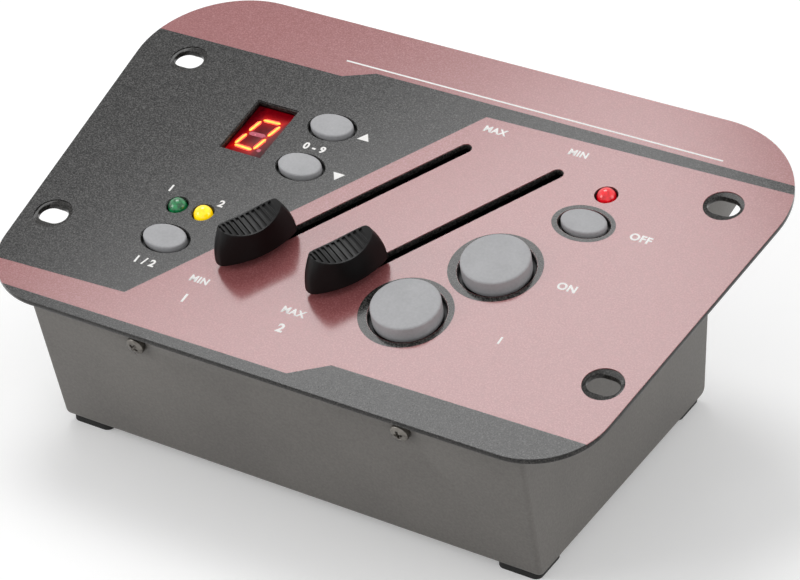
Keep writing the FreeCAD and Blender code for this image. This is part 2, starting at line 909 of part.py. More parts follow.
def knob_cutters():
    half_chord = dim.knob_top_length.value / 2
    dip = dim.knob_dip.value
    radius = (half_chord ** 2 + dip ** 2) / (2 * dip)
    bottom = float(dim.knob_gap + dim.knob_height - dim.knob_dip)
    reach = float(dim.knob_width)
    centre = FreeCAD.Vector(0, -reach, bottom + radius)
    across = FreeCAD.Vector(0, 1, 0)
    cutters = [Part.makeCylinder(radius, 2 * reach, centre, across)]
    width = float(dim.groove_width)
    depth = float(dim.groove_depth)
    for number in range(rib_count + 1):
        turn = math.degrees((number - rib_count / 2) * float(dim.groove_pitch) / radius)
        corner = FreeCAD.Vector(-width / 2, -reach, bottom - depth)
        groove = Part.makeBox(width, 2 * reach, 2 * depth, corner)
        groove.rotate(centre, across, turn)
        cutters.append(groove)
    return cutters


def knob_socket():
    low = dim.knob_gap
    length = dim.lever_length + dim.socket_clearance * 2
    width = dim.lever_thickness + dim.socket_clearance * 2
    corner = vector(-length / 2, -width / 2, low)
    return Part.makeBox(float(length), float(width), float(dim.lever_rise - low), corner)


def fader_knob(side):
    name = f"fader_knob_{side}"
    item = doc.addObject("Part::Feature", f"{name}_form")
    item.Shape = knob_blank().cut(knob_cutters() + [knob_socket()])
    on_fader(name, item, side)


# Push buttons: a cap through the plate, a flange that stops it under the plate, and a stem that
# works in the switch on the board

switch_top = board_top + dim.switch_height
flange_top = plate_floor - dim.flange_gap
flange_floor = flange_top - dim.flange_thickness
stem_floor = switch_top - dim.stem_entry


def button_stem(name, x, y):
    return rod(f"{name}_stem", dim.stem_radius, flange_floor - stem_floor, x, y, stem_floor)


def round_button(name, x, y):
    cap = rod(f"{name}_cap", dim.round_radius, dim.round_rise - flange_top, x, y, flange_top)
    crown = rounded(f"{name}_crown", cap, dim.round_edge, at_height(dim.round_rise))
    flange = rod(f"{name}_flange", dim.round_radius + dim.round_gap + dim.flange_lip,
                 dim.flange_thickness, x, y, flange_floor)
    node(name, on_panel(fuse(f"{name}_whole", crown, flange, button_stem(name, x, y))))


def oval_button(name, x, y):
    cap = oval(f"{name}_cap", dim.oval_half_length, dim.oval_half_width,
               dim.oval_rise - flange_top, x, y, flange_top)
    crown = rounded(f"{name}_crown", cap, dim.oval_edge, at_height(dim.oval_rise))
    grow = dim.oval_gap + dim.flange_lip
    flange = oval(f"{name}_flange", dim.oval_half_length + grow, dim.oval_half_width + grow,
                  dim.flange_thickness, x, y, flange_floor)
    node(name, on_panel(fuse(f"{name}_whole", crown, flange, button_stem(name, x, y))))


def push_switches():
    places = [(place, dim.round_switch_side) for place in round_buttons.values()]
    places += [(place, dim.oval_switch_side) for place in oval_buttons.values()]
    switches = []
    for number, ((x, y), side) in enumerate(places):
        case = block(f"switch_case{number}", side, side, dim.switch_height, x, y, board_top)
        bore = rod(f"switch_bore{number}", dim.stem_radius + dim.stem_clearance,
                   dim.switch_height - dim.switch_floor + dim.overrun, x, y,
                   board_top + dim.switch_floor)
        switches.append(cut(f"switch{number}", case, bore))
    node("push_switches", on_panel(group("switch_group", *switches)))


# Output socket: flange and barrel, insert with three bores, latch tab, two screws

def contact_place(number):
    angle = math.radians(half_turn + number * quarter_turn)
    return dim.contact_circle * round(math.cos(angle)), dim.contact_circle * round(math.sin(angle))


def output_socket():
    flange = block("output_flange", dim.output_flange_width, dim.output_flange_height,
                   dim.output_flange_thickness)
    plate = rounded("output_plate", flange, dim.output_flange_corner, upright)
    barrel = rod("output_barrel", dim.output_barrel_radius, dim.output_barrel_length,
                 z=-dim.output_barrel_length)
    tails = [rod(f"output_tail{number}", dim.tail_radius, dim.tail_length, *contact_place(number),
                 -dim.output_barrel_length - dim.tail_length) for number in range(contact_count)]
    mouth = rod("output_mouth", dim.output_mouth_radius,
                dim.output_mouth_depth + dim.output_flange_thickness + dim.overrun,
                z=-dim.output_mouth_depth)
    window_height = dim.latch_height + dim.latch_gap * 2 + dim.latch_travel
    window_top = dim.output_flange_height / 2 - dim.latch_inset + dim.latch_gap
    window = block("latch_window", dim.latch_width + dim.latch_gap * 2, window_height,
                   dim.output_flange_thickness + dim.overrun, 0, window_top - window_height / 2)
    holes = [rod(f"output_hole{side}", dim.screw_shank_radius + dim.thread_clearance,
                 dim.output_flange_thickness + dim.overrun * 2, side * dim.output_screw_x,
                 -side * dim.output_screw_y, -dim.overrun) for side in (-1, 1)]
    blank = fuse("output_blank", plate, barrel, *tails)
    node("output_socket", on_rear(cut("output", blank, mouth, window, *holes), dim.output_x))


def output_core():
    top = dim.output_flange_thickness + dim.output_core_rise
    core = rod("core_blank", dim.output_core_radius, dim.output_mouth_depth + top,
               z=-dim.output_mouth_depth)
    bores = [rod(f"contact{number}", dim.contact_radius, dim.contact_depth + dim.overrun,
                 *contact_place(number), top - dim.contact_depth) for number in range(contact_count)]
    node("output_core", on_rear(cut("core", core, *bores), dim.output_x))


def output_latch():
    middle = dim.output_flange_height / 2 - dim.latch_inset - dim.latch_height / 2
    tab = block("latch_tab", dim.latch_width, dim.latch_height, dim.latch_depth, 0, middle,
                dim.latch_gap)
    node("output_latch", on_rear(group("latch", tab), dim.output_x))


def output_screws():
    screws = [seat(screw(f"output_screw{side}", dim.screw_length), side * dim.output_screw_x,
                   -side * dim.output_screw_y, dim.output_flange_thickness) for side in (-1, 1)]
    node("output_screws", on_rear(group("output_screw_group", *screws), dim.output_x))


# Jack socket and power inlet: each a body behind the wall with a collar through it and a nut

def collar_nut(name, radius, height, collar_radius, x):
    blank = hexagon(f"{name}_blank", radius, height)
    hole = rod(f"{name}_hole", collar_radius + dim.thread_clearance, height + dim.overrun)
    node(name, on_rear(cut(f"{name}_ring", blank, hole), x))


def jack_socket():
    body = block("jack_body", dim.jack_body_width, dim.jack_body_width, dim.jack_body_length,
                 z=-dim.wall - dim.jack_body_length)
    collar = rod("jack_collar", dim.jack_collar_radius, dim.wall + dim.jack_collar_length, z=-dim.wall)
    depth = dim.jack_body_length + dim.wall + dim.jack_collar_length
    bore = rod("jack_bore", dim.jack_bore_radius, depth + dim.overrun * 2,
               z=-dim.wall - dim.jack_body_length - dim.overrun)
    node("jack_socket", on_rear(cut("jack", fuse("jack_blank", body, collar), bore), dim.jack_x))
    collar_nut("jack_nut", dim.jack_nut_radius, dim.jack_nut_height, dim.jack_collar_radius, dim.jack_x)


def power_inlet():
    body = rod("inlet_body", dim.inlet_body_radius, dim.inlet_body_length,
               z=-dim.wall - dim.inlet_body_length)
    collar = rod("inlet_collar", dim.inlet_collar_radius, dim.wall + dim.inlet_collar_length,
                 z=-dim.wall)
    floor = dim.inlet_collar_length - dim.inlet_depth
    mouth = rod("inlet_mouth", dim.inlet_bore_radius, dim.inlet_depth + dim.overrun, z=floor)
    shell = cut("inlet_shell", fuse("inlet_blank", body, collar), mouth)
    pin = rod("inlet_pin", dim.inlet_pin_radius, dim.inlet_depth - dim.inlet_pin_setback, z=floor)
    node("power_inlet", on_rear(fuse("inlet", shell, pin), dim.inlet_x))
    collar_nut("inlet_nut", dim.inlet_nut_radius, dim.inlet_nut_height, dim.inlet_collar_radius,
               dim.inlet_x)


# Power switch: a frame with a well, and a rocker on two pins in the well's sides

well_width = dim.switch_body_width - dim.switch_side_wall * 2
well_height = dim.switch_body_height - dim.switch_end_wall * 2
rocker_width = well_width - dim.rocker_side_gap * 2
rocker_half_length = well_height / 2 - dim.rocker_end_gap


def pivot_rod(name, radius, overlap):
    reach = rocker_width / 2 + dim.pivot_length + overlap
    return seat(rod(name, radius, reach * 2), -reach, 0, 0, (0, 1, 0), quarter_turn)


def switch_frame():
    flange = block("switch_flange", dim.switch_body_width + dim.switch_flange_lip * 2,
                   dim.switch_body_height + dim.switch_flange_lip * 2, dim.switch_flange_thickness)
    body = block("switch_body", dim.switch_body_width, dim.switch_body_height,
                 dim.switch_body_length, z=-dim.switch_body_length)
    blades = [block(f"switch_blade{side}", dim.blade_width, dim.blade_thickness, dim.blade_length,
                    0, side * dim.blade_pitch / 2, -dim.switch_body_length - dim.blade_length)
              for side in (-1, 1)]
    well = block("rocker_well", well_width, well_height, dim.rocker_well_depth + dim.overrun,
                 z=dim.switch_flange_thickness - dim.rocker_well_depth)
    hole = pivot_rod("pivot_hole", dim.pivot_radius + dim.pivot_clearance, dim.pivot_clearance)
    pivot = seat(group("pivot_holes", hole), 0, 0, -dim.rocker_pivot_depth)
    blank = fuse("frame_blank", flange, body, *blades)
    node("switch_frame", on_rear(cut("frame", blank, well, pivot), dim.switch_x))


def switch_rocker():
    outline = [
        (-rocker_half_length, dim.rocker_shoulder),
        (-rocker_half_length, 0),
        (-rocker_half_length / 2, -dim.rocker_belly),
        (rocker_half_length / 2, -dim.rocker_belly),
        (rocker_half_length, 0),
        (rocker_half_length, dim.rocker_shoulder),
        (0, dim.rocker_valley),
    ]
    paddle = profile_body("rocker_paddle", "YZ_Plane", outline, rocker_width, midplane=True)
    pins = pivot_rod("rocker_pins", dim.pivot_radius, 0)
    rocker = fuse("rocker", paddle, pins)
    seat(rocker, 0, 0, -dim.rocker_pivot_depth, along_x, dim.rocker_throw / 2)
    node("switch_rocker", on_rear(group("rocker_group", rocker), dim.switch_x))


# Build every sub-part

panel_plate()
panel_film()
housing_tray()
panel_brackets()
tray_screws()
rubber_feet()
foot_screws()
control_board()
board_spacers()
board_screws()
board_parts()
display()
for lamp_name, lamp_place in lamps.items():
    lamp(lamp_name, *lamp_place)
for fader_side in faders:
    fader_body(fader_side)
    fader_lever(fader_side)
    fader_knob(fader_side)
for button_name, button_place in round_buttons.items():
    round_button(button_name, *button_place)
for button_name, button_place in oval_buttons.items():
    oval_button(button_name, *button_place)
push_switches()
output_socket()
output_core()
output_latch()
output_screws()
jack_socket()
power_inlet()
switch_frame()
switch_rocker()

# Check every object and every sub-part, then write the files

doc.recompute()
broken = [item.Name for item in doc.Objects if "Invalid" in item.State or "Error" in item.State]
unsound = [name for name, item in nodes.items()
           if item.Label != name or item.Shape.isNull() or not item.Shape.isValid()]
if broken or unsound:
    raise RuntimeError(f"failed objects {broken}, unsound sub-parts {unsound}")
os.makedirs("parts", exist_ok=True)
for name, item in nodes.items():
    item.Shape.exportStep(os.path.join("parts", f"{name}.step"))
print(f"{len(nodes)} sub-parts written")
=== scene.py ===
import json
import math
from contextlib import contextmanager

import bmesh
import bpy
from mathutils import Matrix, Vector


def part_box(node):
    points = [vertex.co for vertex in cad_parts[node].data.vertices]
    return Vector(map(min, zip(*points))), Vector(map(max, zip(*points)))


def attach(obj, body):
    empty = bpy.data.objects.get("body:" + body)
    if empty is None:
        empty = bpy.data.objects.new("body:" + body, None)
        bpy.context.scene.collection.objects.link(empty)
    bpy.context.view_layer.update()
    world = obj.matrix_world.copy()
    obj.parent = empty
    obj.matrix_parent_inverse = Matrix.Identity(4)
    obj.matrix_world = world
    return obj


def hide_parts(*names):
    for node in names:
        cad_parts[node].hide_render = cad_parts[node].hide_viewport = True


# Strobe console: printed panel with two slide controls, six buttons, a display and three lamps.
# Pieces are modelled in millimetres, in the panel's own frame or a rear socket's, then settled
# into the standing console in metres.

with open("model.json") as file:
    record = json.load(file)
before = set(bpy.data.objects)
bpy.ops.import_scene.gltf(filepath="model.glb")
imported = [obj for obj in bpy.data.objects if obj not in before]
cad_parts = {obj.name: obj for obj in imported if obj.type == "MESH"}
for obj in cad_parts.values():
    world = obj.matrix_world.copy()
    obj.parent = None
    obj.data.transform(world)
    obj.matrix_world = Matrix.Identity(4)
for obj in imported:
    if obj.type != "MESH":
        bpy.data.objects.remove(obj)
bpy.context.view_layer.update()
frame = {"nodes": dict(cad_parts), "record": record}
nodes = frame["nodes"]
mounts = {mount["name"]: mount for mount in frame["record"]["mounts"]}
print("frame loaded:", len(nodes), "nodes")

millimetre = 0.001


def frameOf(origin, up, right=(1, 0, 0)):
    zAxis = Vector(up).normalized()
    xAxis = Vector(right)
    turn = Matrix((xAxis, zAxis.cross(xAxis), zAxis)).transposed().to_4x4()
    return Matrix.Translation(origin) @ turn @ Matrix.Scale(millimetre, 4)


standing = Matrix.Scale(millimetre, 4)
panelFrame = frameOf(mounts["panel_slots"]["pos_m"], mounts["panel_slots"]["axis"])
rear = {"collar": 6.0, "output": 45.0, "jack": 9.0, "inlet": -17.0}


def rearFrame(socket):
    wall, height = mounts["jack"]["pos_m"][1:]
    origin = (-rear[socket] * millimetre, wall - rear["collar"] * millimetre, height)
    return frameOf(origin, (0, 1, 0), right=(-1, 0, 0))


# Modelling by hand

def only(piece):
    bpy.ops.object.select_all(action="DESELECT")
    piece.select_set(True)
    bpy.context.view_layer.objects.active = piece


def begin(kind, name, **sizes):
    bpy.ops.object.select_all(action="DESELECT")
    getattr(bpy.ops.mesh, "primitive_" + kind + "_add")(**sizes)
    piece = bpy.context.object
    piece.name = piece.data.name = name
    return piece


@contextmanager
def editing(piece, mode="VERT"):
    only(piece)
    bpy.ops.object.mode_set(mode="EDIT")
    bpy.ops.mesh.select_mode(type=mode)
    bpy.ops.mesh.select_all(action="SELECT")
    yield
    bpy.ops.object.mode_set(mode="OBJECT")


def pick(mode, test):
    bpy.ops.mesh.select_mode(type=mode)
    bpy.ops.mesh.select_all(action="DESELECT")
    data = bpy.context.object.data
    mesh = bmesh.from_edit_mesh(data)
    for item in mesh.verts if mode == "VERT" else mesh.edges:
        if test(item):
            item.select_set(True)
    mesh.select_flush_mode()
    bmesh.update_edit_mesh(data)


def outwards():
    bpy.ops.mesh.select_all(action="SELECT")
    bpy.ops.mesh.normals_make_consistent(inside=False)


def slide(x, y, z):
    bpy.ops.transform.translate(value=(x, y, z))


def grow(x, y, z, centre=(0, 0, 0)):
    bpy.ops.transform.resize(value=(x, y, z), center_override=centre)


def extrude(x, y, z):
    bpy.ops.mesh.extrude_region_move(TRANSFORM_OT_translate={"value": (x, y, z)})


def trace(points):
    # one corner drawn along the points by extruding it, inside edit mode
    bpy.ops.mesh.merge(type="CENTER")
    slide(*points[0])
    for last, point in zip(points, points[1:]):
        step = Vector(point) - Vector(last)
        bpy.ops.mesh.extrude_vertices_move(TRANSFORM_OT_translate={"value": step})


def closeChain():
    pick("VERT", lambda corner: len(corner.link_edges) < 2)
    bpy.ops.mesh.edge_face_add()


def turned(name, outline, steps, ring=False):
    # (radius, height) points spun about Z. A ring's outline is closed, others start and end
    # on the axis
    piece = begin("plane", name, size=1)
    with editing(piece):
        trace([(radius, 0, height) for radius, height in outline])
        if ring:
            closeChain()
        bpy.ops.mesh.select_all(action="SELECT")
        bpy.ops.mesh.spin(steps=steps, angle=2 * math.pi, center=(0, 0, 0), axis=(0, 0, 1))
        bpy.ops.mesh.select_all(action="SELECT")
        bpy.ops.mesh.remove_doubles(threshold=0.0005)
        outwards()
    return piece


def outlined(name, points, low, high):
    # flat outline filled and extruded from one height to another
    piece = begin("plane", name, size=1)
    with editing(piece):
        trace([(x, y, low) for x, y in points])
        closeChain()
        bpy.ops.mesh.select_all(action="SELECT")
        bpy.ops.mesh.edge_face_add()
        extrude(0, 0, high - low)
        outwards()
    return piece


def tower(name, levels, sides):
    # stacked ovals (half length, half width, height), closed at both ends
    length, width, height = levels[0]
    piece = begin("circle", name, vertices=sides, radius=1, fill_type="NGON")
    with editing(piece):
        grow(length, width, 1)
        slide(0, 0, height)
        for nextLength, nextWidth, nextHeight in levels[1:]:
            extrude(0, 0, nextHeight - height)
            grow(nextLength / length, nextWidth / width, 1)
            length, width, height = nextLength, nextWidth, nextHeight
        outwards()
    return piece


def bar(name, length, width, low, high, x=0, y=0):
    piece = begin("cube", name, size=1)
    with editing(piece):
        grow(length, width, high - low)
        slide(0, 0, (low + high) / 2)
        slide(x, y, 0)
    return piece


def arc(centreRadius, centreHeight, radius, start, end, steps):
    turns = [math.radians(start + (end - start) * step / steps) for step in range(steps + 1)]
    return [(centreRadius + radius * math.cos(turn), centreHeight + radius * math.sin(turn))
            for turn in turns]


def modify(piece, kind, **settings):
    only(piece)
    modifier = piece.modifiers.new(kind.title(), kind)
    for name, value in settings.items():
        setattr(modifier, name, value)
    bpy.ops.object.modifier_apply(modifier=modifier.name)
    return piece


def carve(piece, *cutters, operation="DIFFERENCE"):
    for cutter in cutters:
        modify(piece, "BOOLEAN", operation=operation, object=cutter, solver="EXACT")
        bpy.data.objects.remove(cutter)
    return piece


def soften(piece, width, angle=30, segments=2):
    return modify(piece, "BEVEL", width=width, segments=segments, limit_method="ANGLE",
                  angle_limit=math.radians(angle), use_clamp_overlap=False)


def moved(piece, x=0, y=0, z=0, turn=0, axis="Z"):
    piece.data.transform(Matrix.Translation((x, y, z)) @ Matrix.Rotation(math.radians(turn), 4, axis))
    return piece


def copyOf(piece, name):
    only(piece)
    bpy.ops.object.duplicate()
    twin = bpy.context.object
    twin.name = twin.data.name = name
    return twin


def join(name, pieces):
    only(pieces[0])
    for piece in pieces:
        piece.select_set(True)
    if len(pieces) > 1:
        bpy.ops.object.join()
    pieces[0].name = pieces[0].data.name = name
    return pieces[0]


def settle(piece, place, body, finish, replaces=(), smooth=32):
    piece.data.transform(place @ piece.matrix_basis)
    piece.matrix_basis = Matrix.Identity(4)
    if finish:
        piece.data.materials.clear()
        piece.data.materials.append(finish)
    only(piece)
    bpy.ops.object.shade_smooth_by_angle(angle=math.radians(smooth))
    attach(piece, body)
    if replaces:
        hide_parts(*replaces)
    return piece


def dressed(node, name, width, angle=30, segments=2):
    # a merged copy of a CAD node's mesh with its sharp edges eased
    piece = bpy.data.objects.new(name, nodes[node].data.copy())
    bpy.context.scene.collection.objects.link(piece)
    with editing(piece):
        bpy.ops.mesh.customdata_custom_splitnormals_clear()
        bpy.ops.mesh.remove_doubles(threshold=1e-6)
        bpy.ops.mesh.dissolve_limited(angle_limit=math.radians(0.4))
    return soften(piece, width * millimetre, angle, segments)


# Shader writing

def srgb(red, green, blue):
    def linear(level):
        share = level / 255
        return share / 12.92 if share <= 0.04045 else ((share + 0.055) / 1.055) ** 2.4
    return (linear(red), linear(green), linear(blue), 1.0)


class Wire:
    def __init__(self, paint, socket):
        self.paint = paint
        self.socket = socket

    def math(self, operation, first, second):
        return self.paint.node("ShaderNodeMath", {"operation": operation}, {0: first, 1: second})

    def __add__(self, other):
        return self.math("ADD", self, other)

    def __sub__(self, other):
        return self.math("SUBTRACT", self, other)

    def __rsub__(self, other):
        return self.math("SUBTRACT", other, self)

    def __mul__(self, other):
        return self.math("MULTIPLY", self, other)

    def __truediv__(self, other):
        return self.math("DIVIDE", self, other)

    __radd__ = __add__
    __rmul__ = __mul__


class Paint:
    def __init__(self, name, **constants):
        self.material = bpy.data.materials.new(name)
        self.material.use_nodes = True
        self.tree = self.material.node_tree
        self.tree.nodes.clear()
        self.shader = self.tree.nodes.new("ShaderNodeBsdfPrincipled")
        end = self.tree.nodes.new("ShaderNodeOutputMaterial")
        self.tree.links.new(self.shader.outputs[0], end.inputs["Surface"])
        self.spot = self.node("ShaderNodeTexCoord", output="Object")
        for name, value in constants.items():
            self.shader.inputs[name.replace("_", " ")].default_value = value

    def node(self, kind, settings=None, sockets=None, output=0):
        made = self.tree.nodes.new(kind)
        for name, value in (settings or {}).items():
            setattr(made, name, value)
        for key, value in (sockets or {}).items():
            self.feed(made.inputs[key], value)
        return Wire(self, made.outputs[output])

    def feed(self, socket, value):
        if isinstance(value, Wire):
            self.tree.links.new(value.socket, socket)
        else:
            socket.default_value = value

    def noise(self, scale, detail=2.0, roughness=0.5):
        return self.node("ShaderNodeTexNoise", None, {"Vector": self.spot, "Scale": scale,
                                                      "Detail": detail, "Roughness": roughness})

    def span(self, value, low, high, start=0.0, end=1.0):
        return self.node("ShaderNodeMapRange", None, {"Value": value, "From Min": low, "From Max": high,
                                                      "To Min": start, "To Max": end})

    def mix(self, first, second, share):
        return self.node("ShaderNodeMix", {"data_type": "RGBA"}, {0: share, 6: first, 7: second}, output=2)

    def bump(self, height, strength, depth):
        return self.node("ShaderNodeBump", None, {"Height": height, "Strength": strength,
                                                  "Distance": depth})

    def wear(self, **sockets):
        for name, value in sockets.items():
            self.feed(self.shader.inputs[name.replace("_", " ")], value)
        return self.material


# Finishes

printGrain = {"grit": 2400.0, "mottle": 420.0, "speckShare": 0.85, "roughness": (0.15, 0.23)}


def printedFilm(name, dark, light, gloss):
    # speckled screen print under a satin film with a fine grit
    paint = Paint(name, Specular_IOR_Level=gloss)
    grit = paint.noise(printGrain["grit"], 2.0, 0.7)
    speck = paint.span(grit, 0.36, 0.64)
    mottle = paint.span(paint.noise(printGrain["mottle"], 3.0, 0.6), 0.3, 0.7)
    colour = paint.mix(dark, light, speck * speck * printGrain["speckShare"] + mottle * 0.15)
    return paint.wear(Base_Color=colour,
                      Roughness=paint.span(speck, 0.0, 1.0, *printGrain["roughness"]),
                      Normal=paint.bump(grit, 0.1, 0.00004))


def powderCoat(name, dark, light):
    paint = Paint(name, Specular_IOR_Level=0.3)
    grain = paint.noise(1500.0, 3.0, 0.6)
    cloud = paint.span(paint.noise(34.0, 3.0, 0.55), 0.3, 0.7)
    colour = paint.mix(dark, light, paint.span(grain, 0.35, 0.65) * 0.45 + cloud * 0.45)
    return paint.wear(Base_Color=colour, Roughness=paint.span(cloud, 0.0, 1.0, 0.46, 0.54),
                      Normal=paint.bump(grain, 0.2, 0.00006))


def mouldedPlastic(name, dark, light, roughness, scale=900.0, strength=0.1, gloss=0.3):
    paint = Paint(name, Specular_IOR_Level=gloss)
    cloud = paint.span(paint.noise(scale * 0.11, 4.0, 0.6), 0.3, 0.7)
    fine = paint.noise(scale, 2.0, 0.6)
    colour = paint.mix(dark, light, cloud * 0.6 + paint.span(fine, 0.3, 0.7) * 0.4)
    return paint.wear(Base_Color=colour,
                      Roughness=paint.span(cloud, 0.0, 1.0, roughness, roughness + 0.1),
                      Normal=paint.bump(fine, strength, 0.00004))


def metal(name, dark, light, roughness):
    paint = Paint(name, Metallic=1.0)
    streak = paint.noise(700.0, 3.0, 0.6)
    cloud = paint.span(paint.noise(90.0, 3.0, 0.55), 0.3, 0.7)
    colour = paint.mix(dark, light, paint.span(streak, 0.3, 0.7) * 0.5 + cloud * 0.5)
    return paint.wear(Base_Color=colour,
                      Roughness=paint.span(streak, 0.2, 0.8, roughness - 0.06, roughness + 0.1),
                      Normal=paint.bump(streak, 0.08, 0.00004))


def glowing(name, dark, light, strength):
    paint = Paint(name, Emission_Strength=strength)
    cloud = paint.span(paint.noise(900.0, 2.0, 0.5), 0.3, 0.7)
    colour = paint.mix(dark, light, cloud)
    return paint.wear(Base_Color=colour, Emission_Color=colour,
                      Roughness=paint.span(cloud, 0.0, 1.0, 0.2, 0.28))


def circuitBoard(name):
    paint = Paint(name)
    tracks = paint.node("ShaderNodeTexBrick", None, {
        "Vector": paint.spot, "Scale": 90.0, "Mortar Size": 0.06,
        "Color1": srgb(20, 74, 44), "Color2": srgb(26, 86, 50), "Mortar": srgb(64, 120, 70)})
    cloud = paint.span(paint.noise(120.0, 3.0, 0.55), 0.3, 0.7)
    return paint.wear(Base_Color=paint.mix(tracks, srgb(16, 60, 38), cloud * 0.5),
                      Roughness=paint.span(cloud, 0.0, 1.0, 0.34, 0.46),
                      Normal=paint.bump(paint.noise(800.0), 0.06, 0.00004))


pinkFilm = printedFilm("pinkFilm", srgb(140, 78, 79), srgb(164, 102, 103), 0.62)
charcoalFilm = printedFilm("charcoalFilm", srgb(0, 0, 0), srgb(84, 83, 82), 0.28)
printWhite = mouldedPlastic("printWhite", srgb(232, 230, 228), srgb(246, 245, 243), 0.4, 1400.0)
ringPrint = printedFilm("ringPrint", srgb(4, 4, 3), srgb(84, 82, 80), 0.28)
trayPaint = powderCoat("trayPaint", srgb(98, 95, 92), srgb(120, 117, 113))
platePaint = printedFilm("platePaint", srgb(4, 4, 4), srgb(76, 74, 72), 0.2)
capGrey = mouldedPlastic("capGrey", srgb(158, 158, 160), srgb(178, 178, 180), 0.5, 1500.0)
knobBlack = mouldedPlastic("knobBlack", srgb(1, 1, 1), srgb(6, 6, 6), 0.36, 2200.0, 0.15, gloss=0.25)
rubber = mouldedPlastic("rubber", srgb(24, 24, 24), srgb(40, 40, 39), 0.62, 1600.0, 0.25)
darkSteel = metal("darkSteel", srgb(84, 80, 76), srgb(142, 138, 132), 0.28)
zincSteel = metal("zincSteel", srgb(150, 150, 146), srgb(196, 196, 190), 0.34)
nickel = metal("nickel", srgb(176, 172, 164), srgb(214, 210, 202), 0.22)
shellMetal = metal("shellMetal", srgb(122, 122, 124), srgb(166, 166, 168), 0.36)
blackPlastic = mouldedPlastic("blackPlastic", srgb(26, 26, 27), srgb(44, 44, 45), 0.45)
displayBlack = mouldedPlastic("displayBlack", srgb(18, 14, 15), srgb(34, 26, 27), 0.5)
board = circuitBoard("board")
print("finishes mixed")


# Sheet metal: tray and plate

settle(dressed("housing_tray", "tray", 0.22), Matrix.Identity(4), "console", trayPaint,
       ["housing_tray"], 38)
settle(dressed("panel_plate", "plate", 0.22), Matrix.Identity(4), "console", platePaint,
       ["panel_plate"], 38)
print("sheet metal eased")


# Printed film: charcoal and pink zones cut into the sheet along the print's edges

film = {
    "darkZone": [(-110, 41.0), (-36.3, 41.5), (-27.9, 45.7), (110, 45.6), (110, 42.9), (8.3, 40.8),
                 (-45.7, -50.2), (-110, -53.1)],
    "frontStrip": [(-110, -59.6), (7.6, -58.6), (16.5, -52.1), (110, -51.0), (110, -70), (-110, -70)],
}


def inside(spot, zone):
    crossings = 0
    for (x, y), (nextX, nextY) in zip(zone, zone[1:] + zone[:1]):
        if (y > spot.y) != (nextY > spot.y):
            crossings += spot.x < x + (spot.y - y) * (nextX - x) / (nextY - y)
    return crossings % 2 == 1


def printFilm():
    sheet = bpy.data.objects.new("film", nodes["panel_film"].data.copy())
    bpy.context.scene.collection.objects.link(sheet)
    sheet.data.transform(panelFrame.inverted())
    with editing(sheet):
        bpy.ops.mesh.customdata_custom_splitnormals_clear()
        bpy.ops.mesh.remove_doubles(threshold=0.001)
        for zone in film.values():
            for (x, y), (nextX, nextY) in zip(zone, zone[1:]):
                bpy.ops.mesh.select_all(action="SELECT")
                side = Vector((nextY - y, x - nextX, 0)).normalized()
                bpy.ops.mesh.bisect(plane_co=(x, y, 0), plane_no=side)
    sheet.data.materials.clear()
    sheet.data.materials.append(pinkFilm)
    sheet.data.materials.append(charcoalFilm)
    for face in sheet.data.polygons:
        face.material_index = int(any(inside(face.center, zone) for zone in film.values()))
    settle(sheet, panelFrame, "console", None, ["panel_film"], 30)


printFilm()

labels = {
    "low": -0.01,
    "high": 0.03,
    "words": [
        ("0 - 9", -28.3, 13.9, 3.2), ("1", -55.7, -13.2, 3.2), ("2", -39.9, -13.5, 3.2),
        ("1 / 2", -47.1, -38.9, 3.2), ("MIN", -30.0, -39.4, 2.9), ("1", -30.1, -46.3, 3.8),
        ("MAX", -1.7, -40.1, 2.9), ("2", -1.8, -46.1, 3.8), ("MAX", 13.1, 36.8, 2.9),
        ("MIN", 37.4, 36.7, 2.9), ("OFF", 66.2, 14.5, 3.2), ("ON", 57.2, -7.5, 3.2),
        ("1", 50.5, -29.5, 3.2),
    ],
    "arrows": [(-17.8, 22.5, 1), (-17.0, 6.5, -1)],
    "arrowHeight": 2.7,
    "arrowHalf": 1.75,
    "rule": (-38.3, 72.8, 47.25, 0.5),
}


def lettering(words, x, y, size):
    bpy.ops.object.select_all(action="DESELECT")
    bpy.ops.object.text_add()
    text = bpy.context.object
    text.data.body = words
    text.data.size = size
    text.data.align_x = text.data.align_y = "CENTER"
    text.data.offset = size * 0.038
    text.data.extrude = (labels["high"] - labels["low"]) / 2
    text.data.space_character = 1.08
    bpy.ops.object.convert(target="MESH")
    return moved(bpy.context.object, x, y, (labels["high"] + labels["low"]) / 2)


def whitePrint():
    marks = [lettering(*label) for label in labels["words"]]
    for x, y, way in labels["arrows"]:
        half, height = labels["arrowHalf"], labels["arrowHeight"] / 2
        corners = [(x - half, y - way * height), (x + half, y - way * height), (x, y + way * height)]
        marks.append(outlined("arrow", corners, labels["low"], labels["high"]))
    start, end, level, thickness = labels["rule"]
    marks.append(outlined("rule", [(start, level), (end, level), (end, level + thickness),
                                   (start, level + thickness)], labels["low"], labels["high"]))
    settle(join("whitePrint", marks), panelFrame, "console", printWhite)


whitePrint()

rings = {
    "low": -0.01,
    "high": 0.02,
    "sides": 96,
    "buttons": [  # ring x, y, half length, half width, hole x, y, half length, half width
        (37.4, -7.6, 12.0, 12.0, 37.9, -7.8, 10.1, 10.1),
        (24.4, -29.6, 12.0, 12.0, 24.9, -29.8, 10.1, 10.1),
        (50.45, 14.3, 8.44, 6.38, 50.6, 14.3, 7.15, 5.2),
    ],
}


def ringPrints():
    marks = []
    for x, y, halfLength, halfWidth, holeX, holeY, holeLength, holeWidth in rings["buttons"]:
        disc = tower("disc", [(halfLength, halfWidth, rings[end]) for end in ("low", "high")],
                     rings["sides"])
        hole = tower("hole", [(holeLength, holeWidth, end) for end in (-1, 1)], rings["sides"])
        marks.append(carve(moved(disc, x, y), moved(hole, holeX, holeY)))
    settle(join("buttonRings", marks), panelFrame, "console", ringPrint)


